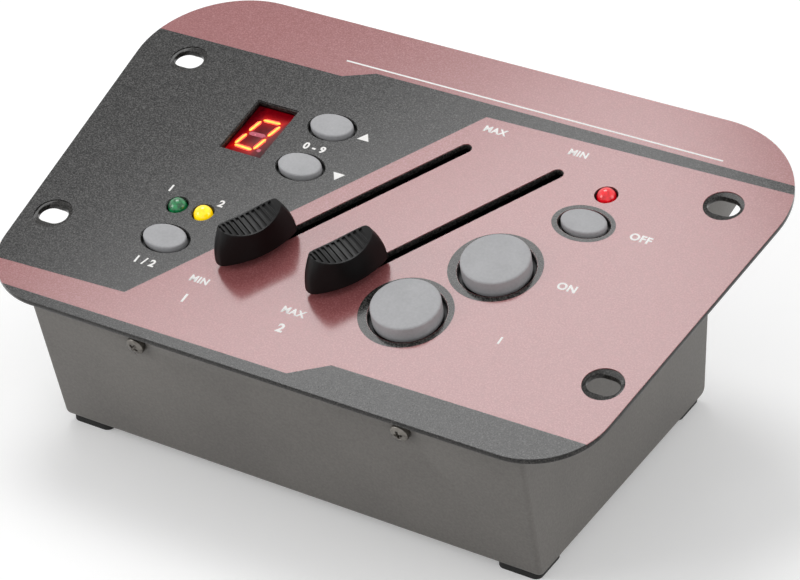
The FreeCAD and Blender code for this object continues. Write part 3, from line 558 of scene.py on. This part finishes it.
ringPrints()
print("film printed")


# Display: red filter over the module, one lit figure

display = {
    "x": -46.2,
    "y": 15.2,
    "face": -2.2,
    "filterSize": (12.9, 19.9),
    "filterFloor": -3.2,
    "sink": 0.1,
    "litRise": 0.06,
    "coreRise": 0.08,
    "unlitRise": 0.03,
    "halfWidth": 0.72,
    "coreHalfWidth": 0.34,
    "lit": [
        ((-48.6, 20.5), (-43.3, 20.75)), ((-48.95, 19.9), (-49.95, 15.4)),
        ((-42.95, 19.85), (-44.05, 15.3)), ((-49.95, 14.3), (-50.95, 9.85)),
        ((-43.95, 14.25), (-45.0, 9.6)), ((-50.85, 9.45), (-45.3, 9.25)),
    ],
    "unlit": [((-49.7, 14.85), (-44.5, 15.0))],
    "point": (-43.4, 9.7, 0.62),
    "figureX": -46.95,
    "figureY": panelFrame.translation.y * 1000 + 15.0 * 0.97237 + 2.2 * 0.233445,
    "figureHalf": (2.9, 5.7),
    "deepShare": 0.97237,
    "slant": 0.235,
}


def strip(name, start, end, halfWidth, low, high):
    # long six-sided bar pointed at both ends
    first, last = Vector(start), Vector(end)
    along = (last - first).normalized()
    side = Vector((-along.y, along.x)) * halfWidth
    nose = along * halfWidth
    points = [first, first + nose + side, last - nose + side, last, last - nose - side, first + nose - side]
    return outlined(name, points, low, high)


def displayFilter():
    # red plastic lit from behind, brightest along the figure's outline
    paint = Paint("displayRed", Emission_Strength=1.0, Specular_IOR_Level=0.08)
    halfAcross, halfDeep = display["figureHalf"]

    def size(value):
        return paint.node("ShaderNodeMath", {"operation": "ABSOLUTE"}, {0: value})

    spot = paint.node("ShaderNodeVectorTransform", None, {0: paint.spot})
    across = paint.node("ShaderNodeSeparateXYZ", None, {0: spot}, output=0)
    deep = paint.node("ShaderNodeSeparateXYZ", None, {0: spot}, output=1)
    u = (across * 1000.0 - display["figureX"]) - (deep * 1000.0 - display["figureY"]) * display["slant"]
    v = (deep * 1000.0 - display["figureY"]) / display["deepShare"]
    reach = paint.node("ShaderNodeMath", {"operation": "MAXIMUM"},
                       {0: size(u) / halfAcross, 1: size(v) / halfDeep})
    away = size(reach - 1.0)
    halo = paint.span(away, 0.0, 0.5, 1.0, 0.0)
    grain = paint.span(paint.noise(1500.0), 0.3, 0.7)
    wash = paint.mix(srgb(44, 0, 5), srgb(140, 2, 14),
                     grain * 0.2 + paint.span(away, 0.0, 1.1, 0.8, 0.0))
    glow = paint.mix(wash, srgb(222, 22, 10), halo * halo * 0.8)
    return paint.wear(Base_Color=paint.mix(srgb(14, 0, 2), srgb(26, 0, 3), grain), Emission_Color=glow,
                      Roughness=paint.span(grain, 0.0, 1.0, 0.18, 0.24))


displayRed = displayFilter()
litRed = glowing("litRed", srgb(236, 52, 6), srgb(248, 72, 8), 0.95)
litYellow = glowing("litYellow", srgb(255, 150, 24), srgb(255, 184, 40), 1.0)
# the unlit segments and point glow faintly: a painted glow standing in for the light they catch
unlitPaintedGlow = glowing("unlitPaintedGlow", srgb(120, 6, 40), srgb(150, 10, 52), 0.7)


def makeDisplay():
    settle(dressed("display_module", "displayModule", 0.2), Matrix.Identity(4), "console", displayBlack,
           ["display_module"])
    face = display["face"]
    sheet = bar("displayFilter", *display["filterSize"], display["filterFloor"], face,
                display["x"], display["y"])
    soften(sheet, 0.18)
    settle(sheet, panelFrame, "console", displayRed, ["display_filter"])
    lit = [strip("lit", *ends, display["halfWidth"], face - display["sink"],
                 face + display["litRise"]) for ends in display["lit"]]
    settle(join("figureLit", lit), panelFrame, "console", litRed)
    core = [strip("core", *ends, display["coreHalfWidth"], face, face + display["coreRise"])
            for ends in display["lit"]]
    settle(join("figureCore", core), panelFrame, "console", litYellow)
    x, y, radius = display["point"]
    low, high = face - display["sink"], face + display["unlitRise"]
    dark = [strip("dark", *ends, display["halfWidth"], low, high) for ends in display["unlit"]]
    dark.append(moved(tower("point", [(radius, radius, low), (radius, radius, high)], 24), x, y))
    settle(join("figureUnlit", dark), panelFrame, "console", unlitPaintedGlow)


makeDisplay()
print("display lit")


# Indicator lamps: domed lens with a flange, and two leads

lamp = {
    "radius": 2.5,
    "rise": 1.7,
    "height": 8.6,
    "flangeRadius": 2.9,
    "flangeHeight": 1.0,
    "flangeEdge": 0.15,
    "leadPitch": 2.54,
    "leadThickness": 0.5,
    "board": -11.3,
    "places": {"green": (-50.7, -17.9), "yellow": (-42.8, -17.9), "red": (51.0, 25.7)},
}


def lensFinish(name, dark, light, glow, strength):
    paint = Paint(name, Emission_Strength=strength, Coat_Weight=0.6, Coat_Roughness=0.06)
    cloud = paint.span(paint.noise(620.0, 2.0, 0.6), 0.36, 0.64)
    colour = paint.mix(dark, light, cloud)
    return paint.wear(Base_Color=colour, Emission_Color=paint.mix(dark, glow, cloud),
                      Roughness=paint.span(cloud, 0.0, 1.0, 0.1, 0.18))


lensFinishes = {
    # the green lamp is off; its faint mottled glow is a painted glow standing in for the light its lens
    # catches
    "green": lensFinish("lampGreen", srgb(6, 66, 34), srgb(24, 140, 78), srgb(30, 150, 88), 0.18),
    "yellow": lensFinish("lampYellow", srgb(250, 196, 0), srgb(255, 222, 20), srgb(255, 220, 10),
                         0.62),
    "red": lensFinish("lampRed", srgb(190, 0, 18), srgb(236, 20, 36), srgb(240, 10, 30), 0.35),
}


def makeLamps():
    low = lamp["rise"] - lamp["height"]
    domeCentre = lamp["rise"] - lamp["radius"]
    rim, edge, flangeTop = lamp["flangeRadius"], lamp["flangeEdge"], low + lamp["flangeHeight"]
    outline = [(0, low), (rim - edge, low), (rim, low + edge), (rim, flangeTop),
               (lamp["radius"], flangeTop)]
    outline += arc(0, domeCentre, lamp["radius"], 0, 90, 12)
    lens = turned("lens", outline, 48)
    half, thick = lamp["leadPitch"] / 2, lamp["leadThickness"]
    leads = join("leads", [bar("lead", thick, thick, lamp["board"], low, side * half)
                           for side in (-1, 1)])
    for colour, (x, y) in lamp["places"].items():
        dome = moved(copyOf(lens, "lamp_" + colour), x, y)
        settle(dome, panelFrame, "console", lensFinishes[colour],
               ["lamp_" + colour], 50)
        wires = moved(copyOf(leads, "leads_" + colour), x, y)
        settle(wires, panelFrame, "console", zincSteel)
    bpy.data.objects.remove(lens)
    bpy.data.objects.remove(leads)


makeLamps()
print("lamps set")


# Slide controls: black knobs with a ribbed hollow for the finger

knob = {
    "levels": (2.0, 5.0, 12.0),
    "lengths": (22.6, 22.0, 16.8),
    "widths": (9.7, 9.1, 8.6),
    "endShare": 0.46,
    "endBow": 0.9,
    "cornerRadius": 1.1,
    "slices": 12,
    "dip": 2.6,
    "chord": 16.8,
    "groovePitch": 1.5,
    "grooveWidth": 0.9,
    "grooveDepth": 0.55,
    "firstGroove": -5.5,
    "lastGroove": 4.5,
    "toothEdge": 0.12,
    "lip": 0.45,
    "edge": 0.2,
    "edgeAngle": 28,
    "leverLength": 4.1,
    "leverWidth": 1.3,
    "leverTop": 7.0,
    "turn": 59.4,
    "places": {"left": (-22.0, -24.4), "right": (4.7, -24.4)},
}


def bow(start, middle, end, steps):
    # points on the circle through three points, without the last
    (x1, y1), (x2, y2), (x3, y3) = start, middle, end
    span = 2 * (x1 * (y2 - y3) + x2 * (y3 - y1) + x3 * (y1 - y2))
    s1, s2, s3 = x1 * x1 + y1 * y1, x2 * x2 + y2 * y2, x3 * x3 + y3 * y3
    cx = (s1 * (y2 - y3) + s2 * (y3 - y1) + s3 * (y1 - y2)) / span
    cy = (s1 * (x3 - x2) + s2 * (x1 - x3) + s3 * (x2 - x1)) / span
    first = math.atan2(y1 - cy, x1 - cx)
    last = math.atan2(y3 - cy, x3 - cx)
    sweep = (last - first + math.pi) % (2 * math.pi) - math.pi
    radius = math.hypot(x1 - cx, y1 - cy)
    turns = [first + sweep * step / steps for step in range(steps)]
    return [(cx + radius * math.cos(turn), cy + radius * math.sin(turn)) for turn in turns]


def knobSize(kind, height):
    # the curve through the three given levels
    (z1, z2, z3), (v1, v2, v3) = knob["levels"], knob[kind]
    rise = (v2 - v1) / (z2 - z1)
    curve = ((v3 - v2) / (z3 - z2) - rise) / (z3 - z1)
    return v1 + rise * (height - z1) + curve * (height - z1) * (height - z2)


def knobBlank():
    low, top = knob["levels"][0], knob["levels"][-1]
    half = knobSize("lengths", low) / 2
    side = knobSize("widths", low) / 2
    shoulder, end = half - knob["endBow"], side * knob["endShare"]
    corners = [(shoulder, end), (0, side), (-shoulder, end), (-half, 0), (-shoulder, -end),
               (0, -side), (shoulder, -end), (half, 0), (shoulder, end)]
    ring = []
    for start, steps in ((0, 24), (2, 8), (4, 24), (6, 8)):
        ring += bow(*corners[start:start + 3], steps)
    piece = begin("plane", "knob", size=1)
    with editing(piece):
        trace([(x, y, low) for x, y in ring])
        closeChain()
        bpy.ops.mesh.select_all(action="SELECT")
        bpy.ops.mesh.edge_face_add()
        pick("VERT", lambda corner: abs(abs(corner.co.x) - shoulder) < 0.01
             and abs(abs(corner.co.y) - end) < 0.01)
        bpy.ops.mesh.bevel(affect="VERTICES", offset=knob["cornerRadius"], segments=5)
        bpy.ops.mesh.select_all(action="SELECT")
        last = low
        for number in range(knob["slices"]):
            level = low + (top - low) * (number + 1) / knob["slices"]
            extrude(0, 0, level - last)
            grow(knobSize("lengths", level) / knobSize("lengths", last),
                 knobSize("widths", level) / knobSize("widths", last), 1)
            last = level
        outwards()
    return piece


def fingerHollow():
    # a cylinder across the knob with the grooves standing out of it
    top, dip, chord = knob["levels"][2], knob["dip"], knob["chord"] / 2
    radius = (chord ** 2 + dip ** 2) / (2 * dip)
    centre = top - dip + radius
    hollow = begin("cylinder", "hollow", vertices=256, radius=radius, depth=30)
    moved(moved(hollow, turn=90, axis="X"), z=centre)
    teeth = []
    number = knob["firstGroove"]
    while number <= knob["lastGroove"]:
        turn = number * knob["groovePitch"] / radius
        away, height = radius * math.sin(turn), centre - radius * math.cos(turn)
        shoulder = knobSize("lengths", height) / 2 - knob["endBow"]
        side = knobSize("widths", height) / 2
        end = side * knob["endShare"]
        bowRadius = (shoulder ** 2 + (side - end) ** 2) / (2 * (side - end))
        reach = side - bowRadius + math.sqrt(bowRadius ** 2 - away ** 2) - knob["lip"]
        tooth = bar("tooth", knob["grooveWidth"], reach * 2, -radius - knob["grooveDepth"], 1 - radius)
        moved(soften(tooth, knob["toothEdge"]), turn=-math.degrees(turn), axis="Y")
        teeth.append(moved(tooth, z=centre))
        number += 1
    return carve(hollow, join("teeth", teeth), operation="UNION")


def makeKnob():
    piece = carve(knobBlank(), fingerHollow())
    carve(piece, bar("leverPocket", knob["leverLength"], knob["leverWidth"], 0, knob["leverTop"]))
    return modify(piece, "BEVEL", width=knob["edge"], segments=3, limit_method="ANGLE",
                  angle_limit=math.radians(knob["edgeAngle"]))


knobMaster = makeKnob()
for side, (x, y) in knob["places"].items():
    twin = moved(moved(copyOf(knobMaster, "knob_" + side), turn=knob["turn"]), x, y)
    settle(twin, panelFrame, side + "_fader", knobBlack,
           ["fader_knob_" + side], 40)
bpy.data.objects.remove(knobMaster)
print("knobs on")


# Push buttons: grey caps with a collar under the plate and a stem, painted black below the plate as painted
# shade in the gap

button = {
    "stem": 2.0,
    "stemFloor": -8.1,
    "collarFloor": -3.05,
    "collarTop": -2.05,
    "roundRadius": 8.85,
    "roundCollar": 10.6,
    "roundRise": 3.6,
    "roundEdge": 0.55,
    "ovalHalf": (6.15, 4.2),
    "ovalCollar": (7.67, 5.72),
    "ovalRise": 1.2,
    "ovalEdge": 0.5,
    "crown": 0.12,
    # below this height the caps are painted black, as painted shade in the gap under the plate
    "shade": -1.0,
    "round": {"full": (37.9, -7.8), "single": (24.9, -29.8)},
    "oval": {"step_up": (-28.0, 22.6), "step_down": (-28.0, 6.3), "mode": (-46.7, -29.7),
             "hold": (50.6, 14.3)},
}


def cap(name, half, collar, rise, edge):
    length, width = half
    top = rise - button["crown"]
    stem = (button["stem"],) * 2
    levels = [(*stem, button["stemFloor"]), (*stem, button["collarFloor"]),
              (*collar, button["collarFloor"]), (*collar, button["collarTop"]),
              (*half, button["collarTop"]), (*half, button["shade"]), (*half, top - edge)]
    for reach, height in arc(-edge, top - edge, edge, 15, 90, 5):
        levels.append((length + reach, width + reach, height))
    for share in (0.85, 0.6, 0.3, 0.05):
        levels.append(((length - edge) * share, (width - edge) * share,
                       top + button["crown"] * (1 - share ** 2)))
    piece = tower(name, levels, 72)
    # faces below the shade level are painted black: painted shade for the dark gap between cap and plate
    for finish in (capGrey, blackPlastic):
        piece.data.materials.append(finish)
    for face in piece.data.polygons:
        face.material_index = int(face.center.z < button["shade"])
    return piece


def makeButtons():
    rounds = cap("round", (button["roundRadius"],) * 2, (button["roundCollar"],) * 2,
                 button["roundRise"], button["roundEdge"])
    ovals = cap("oval", button["ovalHalf"], button["ovalCollar"], button["ovalRise"], button["ovalEdge"])
    for master, places in ((rounds, button["round"]), (ovals, button["oval"])):
        for name, (x, y) in places.items():
            twin = moved(copyOf(master, "cap_" + name), x, y)
            settle(twin, panelFrame, name + "_button", None, ["button_" + name], 40)
        bpy.data.objects.remove(master)


makeButtons()
print("buttons capped")


# Cross-recess screws

screw = {
    "head": 2.5,
    "height": 2.1,
    "side": 1.35,
    "edge": 0.35,
    "shank": 1.45,
    "tip": 0.4,
    "point": 0.5,
    "plain": 1.2,
    "pitch": 0.6,
    "threadDepth": 0.25,
    "armLength": 3.0,
    "armWidth": 0.8,
    "recess": 1.4,
    "traySpacing": 76.6,
    "trayDrop": 7.9,
    "trayHalf": 58.0,
    "length": 6.0,
    "footHeight": 0.8,
    "footSide": 0.3,
    "footRecess": 1.1,
    "footLength": 4.2,
    "footArm": 0.6,
    "outputPlace": (9.5, 12.0, 2.0),
    "spins": {"side": 23, "end": 11, "output": 35},
}


def makeScrew(name, length, height, side, recess):
    # threaded shank, flat-domed head and a tapering cross recess
    head, edge, shank = screw["head"], screw["edge"], screw["shank"]
    outline = [(0, -length), (shank - screw["tip"], -length), (shank, screw["point"] - length)]
    for number in range(int((length - screw["plain"]) / screw["pitch"])):
        start = screw["point"] - length + number * screw["pitch"]
        outline += [(shank, start + 0.1), (shank - screw["threadDepth"], start + 0.3),
                    (shank, start + 0.5)]
    outline += [(shank, -0.05), (shank, 0), (head - 0.1, 0), (head, 0.1)]
    outline += arc(head - edge, side, edge, 0, 60, 4)
    rim, shoulder = outline[-1]
    for step in range(1, 7):
        away = rim * (1 - step / 6)
        outline.append((away, height - (height - shoulder) * (away / rim) ** 2))
    piece = turned(name, outline, 48)
    floor = height - recess
    for turn in (0, 90):
        arm = bar("arm", screw["armLength"], screw["armWidth"], floor, height + 0.4)
        with editing(arm):
            pick("VERT", lambda corner: corner.co.z < height)
            grow(0.45, 0.7, 1, (0, 0, floor))
        carve(piece, moved(arm, turn=turn))
    return soften(piece, 0.06, 40)


def makeScrews():
    master = makeScrew("screw", screw["length"], screw["height"], screw["side"], screw["recess"])
    spins = screw["spins"]
    trayScrews = []
    for side in (-1, 1):
        for end in (-1, 1):
            twin = copyOf(master, "trayScrew")
            moved(twin, turn=spins["side"] * side + spins["end"] * end)
            moved(twin, turn=-90 * end, axis="X")
            trayScrews.append(moved(twin, side * screw["traySpacing"] / 2,
                                    end * screw["trayHalf"], -screw["trayDrop"]))
    settle(join("trayScrews", trayScrews), panelFrame, "console", darkSteel,
           ["tray_screws"])
    x, y, z = screw["outputPlace"]
    outputScrews = []
    for side in (-1, 1):
        twin = moved(copyOf(master, "outputScrew"), turn=spins["output"] * side)
        outputScrews.append(moved(twin, side * x, -side * y, z))
    settle(join("outputScrews", outputScrews), rearFrame("output"), "console", nickel,
           ["output_screws"])
    bpy.data.objects.remove(master)
    master = makeScrew("screw", screw["footLength"], screw["footHeight"], screw["footSide"],
                       screw["footArm"])
    moved(master, turn=180, axis="X")
    footScrews = [moved(copyOf(master, "footScrew"), x, y, screw["footRecess"])
                  for x, y in footPlaces()]
    settle(join("footScrews", footScrews), standing, "console", zincSteel,
           ["foot_screws"])
    bpy.data.objects.remove(master)


foot = {"half": 6.0, "height": 2.0, "corner": 2.0, "recess": 3.2, "depth": 1.1, "bore": 1.7,
        "edge": 0.25, "halfAcross": 64.0}


def footPlaces():
    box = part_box("rubber_feet")
    front = box[0].y / millimetre + foot["half"]
    back = box[1].y / millimetre - foot["half"]
    return [(side * foot["halfAcross"], y) for side in (-1, 1) for y in (front, back)]


def makeFeet():
    master = bar("foot", foot["half"] * 2, foot["half"] * 2, 0, foot["height"])
    with editing(master, "EDGE"):
        pick("EDGE", lambda edge: abs(edge.verts[0].co.z - edge.verts[1].co.z) > 1)
        bpy.ops.mesh.bevel(offset=foot["corner"], segments=8, affect="EDGES")
    carve(master, turned("seat", [(0, -1), (foot["recess"], -1), (foot["recess"], foot["depth"]),
                                  (foot["bore"], foot["depth"]), (foot["bore"], 3), (0, 3)], 48))
    soften(master, foot["edge"], 40)
    feet = [moved(copyOf(master, "oneFoot"), x, y) for x, y in footPlaces()]
    settle(join("feet", feet), standing, "console", rubber, ["rubber_feet"])
    bpy.data.objects.remove(master)


makeScrews()
makeFeet()
print("screws and feet in")


# Rear: output socket, jack, power inlet and rocker switch

jack = {"wall": 1.2, "collar": 4.5, "length": 6.0, "bore": 3.2, "bodyWidth": 15.0, "bodyLength": 23.0,
        "nut": 7.0, "nutHeight": 2.2}
inlet = {"collar": 4.0, "length": 4.6, "bore": 2.85, "depth": 9.5, "pin": 1.05, "pinBack": 1.0,
         "body": 5.6, "bodyLength": 12.0, "nut": 6.4, "nutHeight": 2.0}
output = {"mouth": 9.6, "barrel": 11.8, "flange": 2.0,
          "latchY": 12.8, "latchWidth": 8.0, "latchHeight": 3.0, "latchLow": 0.3, "latchHigh": 3.9,
          "ringEdge": 0.4, "ringRise": 0.6, "grooves": (1.2, 2.0, 2.8)}
thread = {"pitch": 0.7, "depth": 0.28}


def threadOutline(radius, low, high):
    pitch, depth = thread["pitch"], thread["depth"]
    points = []
    count = int((high - low) / pitch)
    for number in range(count):
        start = low + number * pitch
        points += [(radius, start), (radius, start + pitch * 0.2), (radius - depth, start + pitch * 0.6)]
    return points + [(radius, low + count * pitch), (radius - 0.05, high - 0.3), (radius - 0.35, high)]


def makeNut(name, radius, height, bore):
    nut = begin("cylinder", name, vertices=6, radius=radius, depth=height)
    moved(nut, z=height / 2)
    chamfer = turned("chamfer", [(0, -0.1), (radius - 0.5, -0.1), (radius + 0.1, 0.4),
                                 (radius + 0.1, height - 0.4), (radius - 0.5, height + 0.1),
                                 (0, height + 0.1)], 64)
    carve(nut, chamfer, operation="INTERSECT")
    hole = begin("cylinder", "hole", vertices=48, radius=bore, depth=height * 3)
    carve(nut, hole)
    return soften(nut, 0.12, 25)


def makeJack():
    body = begin("cube", "jackBody", size=1)
    wall, bore, length = jack["wall"], jack["bore"], jack["length"]
    with editing(body):
        grow(jack["bodyWidth"], jack["bodyWidth"], jack["bodyLength"])
        slide(0, 0, -wall - jack["bodyLength"] / 2)
    hole = begin("cylinder", "hole", vertices=48, radius=bore, depth=80)
    soften(carve(body, hole), 0.4)
    outline = [(bore, -wall), *threadOutline(jack["collar"], -wall, length),
               (bore + 0.25, length), (bore, length - 0.25)]
    collar = turned("jackCollar", outline, 48, ring=True)
    settle(join("jack", [body, collar]), rearFrame("jack"), "console", blackPlastic,
           ["jack_socket"])
    settle(makeNut("jackNut", jack["nut"], jack["nutHeight"], jack["collar"] + 0.05),
           rearFrame("jack"), "console", nickel, ["jack_nut"])


def makeInlet():
    wall, length, bore = jack["wall"], inlet["length"], inlet["bore"]
    body, pin = inlet["body"], inlet["pin"]
    back = -wall - inlet["bodyLength"]
    floor = length - inlet["depth"]
    pinTop = length - inlet["pinBack"]
    outline = [(0, back), (body - 0.4, back), (body, back + 0.4), (body, -wall)]
    outline += threadOutline(inlet["collar"], -wall, length)
    outline += [(bore + 0.3, length), (bore, length - 0.3), (bore, floor), (pin, floor),
                (pin, pinTop - 0.5), (pin - 0.25, pinTop - 0.12), (0, pinTop)]
    settle(turned("powerInlet", outline, 48), rearFrame("inlet"), "console", blackPlastic,
           ["power_inlet"])
    settle(makeNut("inletNut", inlet["nut"], inlet["nutHeight"], inlet["collar"] + 0.05),
           rearFrame("inlet"), "console", nickel, ["inlet_nut"])


def makeOutput():
    settle(dressed("output_socket", "outputShell", 0.3), Matrix.Identity(4), "console", shellMetal,
           ["output_socket"])
    settle(dressed("output_core", "outputCore", 0.15), Matrix.Identity(4), "console", blackPlastic,
           ["output_core"])
    mouth, barrel, flange = output["mouth"], output["barrel"], output["flange"]
    rim = flange + output["ringRise"]
    ring = turned("mouthRing", [(mouth, flange - 0.1), (barrel - output["ringEdge"], flange - 0.1),
                                (barrel - 0.5, flange + 0.35), (barrel - 0.9, rim),
                                (mouth + 0.5, rim), (mouth, flange + 0.2)], 96, ring=True)
    top = bar("cutTop", 12, 8, 0, 8, 0, 13.5)
    carve(ring, top)
    settle(ring, rearFrame("output"), "console", shellMetal)
    tab = bar("latch", output["latchWidth"], output["latchHeight"], output["latchLow"],
              output["latchHigh"])
    soften(tab, 0.45, 30, 3)
    for level in output["grooves"]:
        carve(tab, bar("groove", 6.4, 0.6, level, level + 0.35, 0, output["latchHeight"] / 2))
    moved(tab, 0, output["latchY"], 0)
    settle(tab, rearFrame("output"), "latch", nickel, ["output_latch"])


def makeSwitch():
    settle(dressed("switch_frame", "switchFrame", 0.25), Matrix.Identity(4), "console", blackPlastic,
           ["switch_frame"])
    settle(dressed("switch_rocker", "rocker", 0.3, 20, 3), Matrix.Identity(4), "rocker", blackPlastic,
           ["switch_rocker"])


makeJack()
makeInlet()
makeOutput()
makeSwitch()
print("rear sockets fitted")


# Pieces inside keep their CAD shape

inner = {
    "panel_brackets": zincSteel, "control_board": board, "board_spacers": nickel, "board_screws": zincSteel,
    "board_parts": blackPlastic, "fader_body_left": darkSteel, "fader_body_right": darkSteel,
    "fader_lever_left": darkSteel, "fader_lever_right": darkSteel, "push_switches": blackPlastic,
}
for name, finish in inner.items():
    for slot in nodes[name].material_slots:
        slot.material = finish


# Floor, light and camera

stage = {
    "floorSize": 6.0,
    "floor": srgb(236, 236, 236),
    "world": 0.6,
    "lamps": {  # place, size, power
        "key": ((-0.381, 0.334, 1.033), 0.486, 4.0),
        "fill": ((-0.75, -0.75, 0.45), 0.5, 3.0),
        "side": ((1.0, 0.20, 0.30), 0.6, 2.0),
    },
}


def pale(tree, plain, strength):
    # white to the camera, to gloss and through glass, and a plain level as light
    path = tree.nodes.new("ShaderNodeLightPath")
    seen = path.outputs["Is Camera Ray"]
    for kind in ("Is Glossy Ray", "Is Transmission Ray"):
        both = tree.nodes.new("ShaderNodeMath")
        both.operation = "MAXIMUM"
        tree.links.new(seen, both.inputs[0])
        tree.links.new(path.outputs[kind], both.inputs[1])
        seen = both.outputs[0]
    level = tree.nodes.new("ShaderNodeMix")
    level.inputs[2].default_value = plain
    level.inputs[3].default_value = strength
    tree.links.new(seen, level.inputs[0])
    return level.outputs[0]


def makeStage():
    world = bpy.data.worlds.new("studio")
    world.use_nodes = True
    bpy.context.scene.world = world
    background = world.node_tree.nodes["Background"]
    background.inputs["Color"].default_value = (1, 1, 1, 1)
    world.node_tree.links.new(pale(world.node_tree, stage["world"], 1.0), background.inputs["Strength"])
    floor = begin("plane", "floor", size=stage["floorSize"])
    paint = Paint("floorPaper")
    cloud = paint.span(paint.noise(3.0, 2.0), 0.3, 0.7)
    paint.wear(Base_Color=paint.mix(stage["floor"], srgb(240, 240, 240), cloud), Roughness=0.9)
    paint.shader.inputs["Emission Color"].default_value = (1, 1, 1, 1)
    paint.tree.links.new(pale(paint.tree, 0.0, 0.22), paint.shader.inputs["Emission Strength"])
    floor.data.materials.append(paint.material)
    for part, (place, size, power) in stage["lamps"].items():
        light = bpy.data.lights.new(part, "AREA")
        light.energy, light.size = power, size
        holder = bpy.data.objects.new(part, light)
        holder.location = place
        holder.rotation_euler = (-holder.location).to_track_quat("-Z", "Y").to_euler()
        bpy.context.scene.collection.objects.link(holder)


camera = {"target": (0.01978, -0.02451, 0.057), "distance": 0.70987, "azimuth": 31.616, "elevation": 32.563,
          "roll": -1.352, "lens": 130.51, "sensor": 36.0}


def makeCamera():
    data = bpy.data.cameras.new("camera")
    data.lens, data.sensor_width = camera["lens"], camera["sensor"]
    data.clip_start = 0.05
    holder = bpy.data.objects.new("camera", data)
    around, up = math.radians(camera["azimuth"]), math.radians(camera["elevation"])
    back = Vector((math.cos(up) * math.sin(around), -math.cos(up) * math.cos(around), math.sin(up)))
    holder.location = Vector(camera["target"]) + back * camera["distance"]
    roll = Matrix.Rotation(math.radians(camera["roll"]), 3, "Z").to_quaternion()
    holder.rotation_mode = "QUATERNION"
    holder.rotation_quaternion = (-back).to_track_quat("-Z", "Y") @ roll
    bpy.context.scene.collection.objects.link(holder)
    bpy.context.scene.camera = holder


makeStage()
makeCamera()
bpy.context.scene.view_settings.view_transform = "Standard"
print("stage and camera ready")
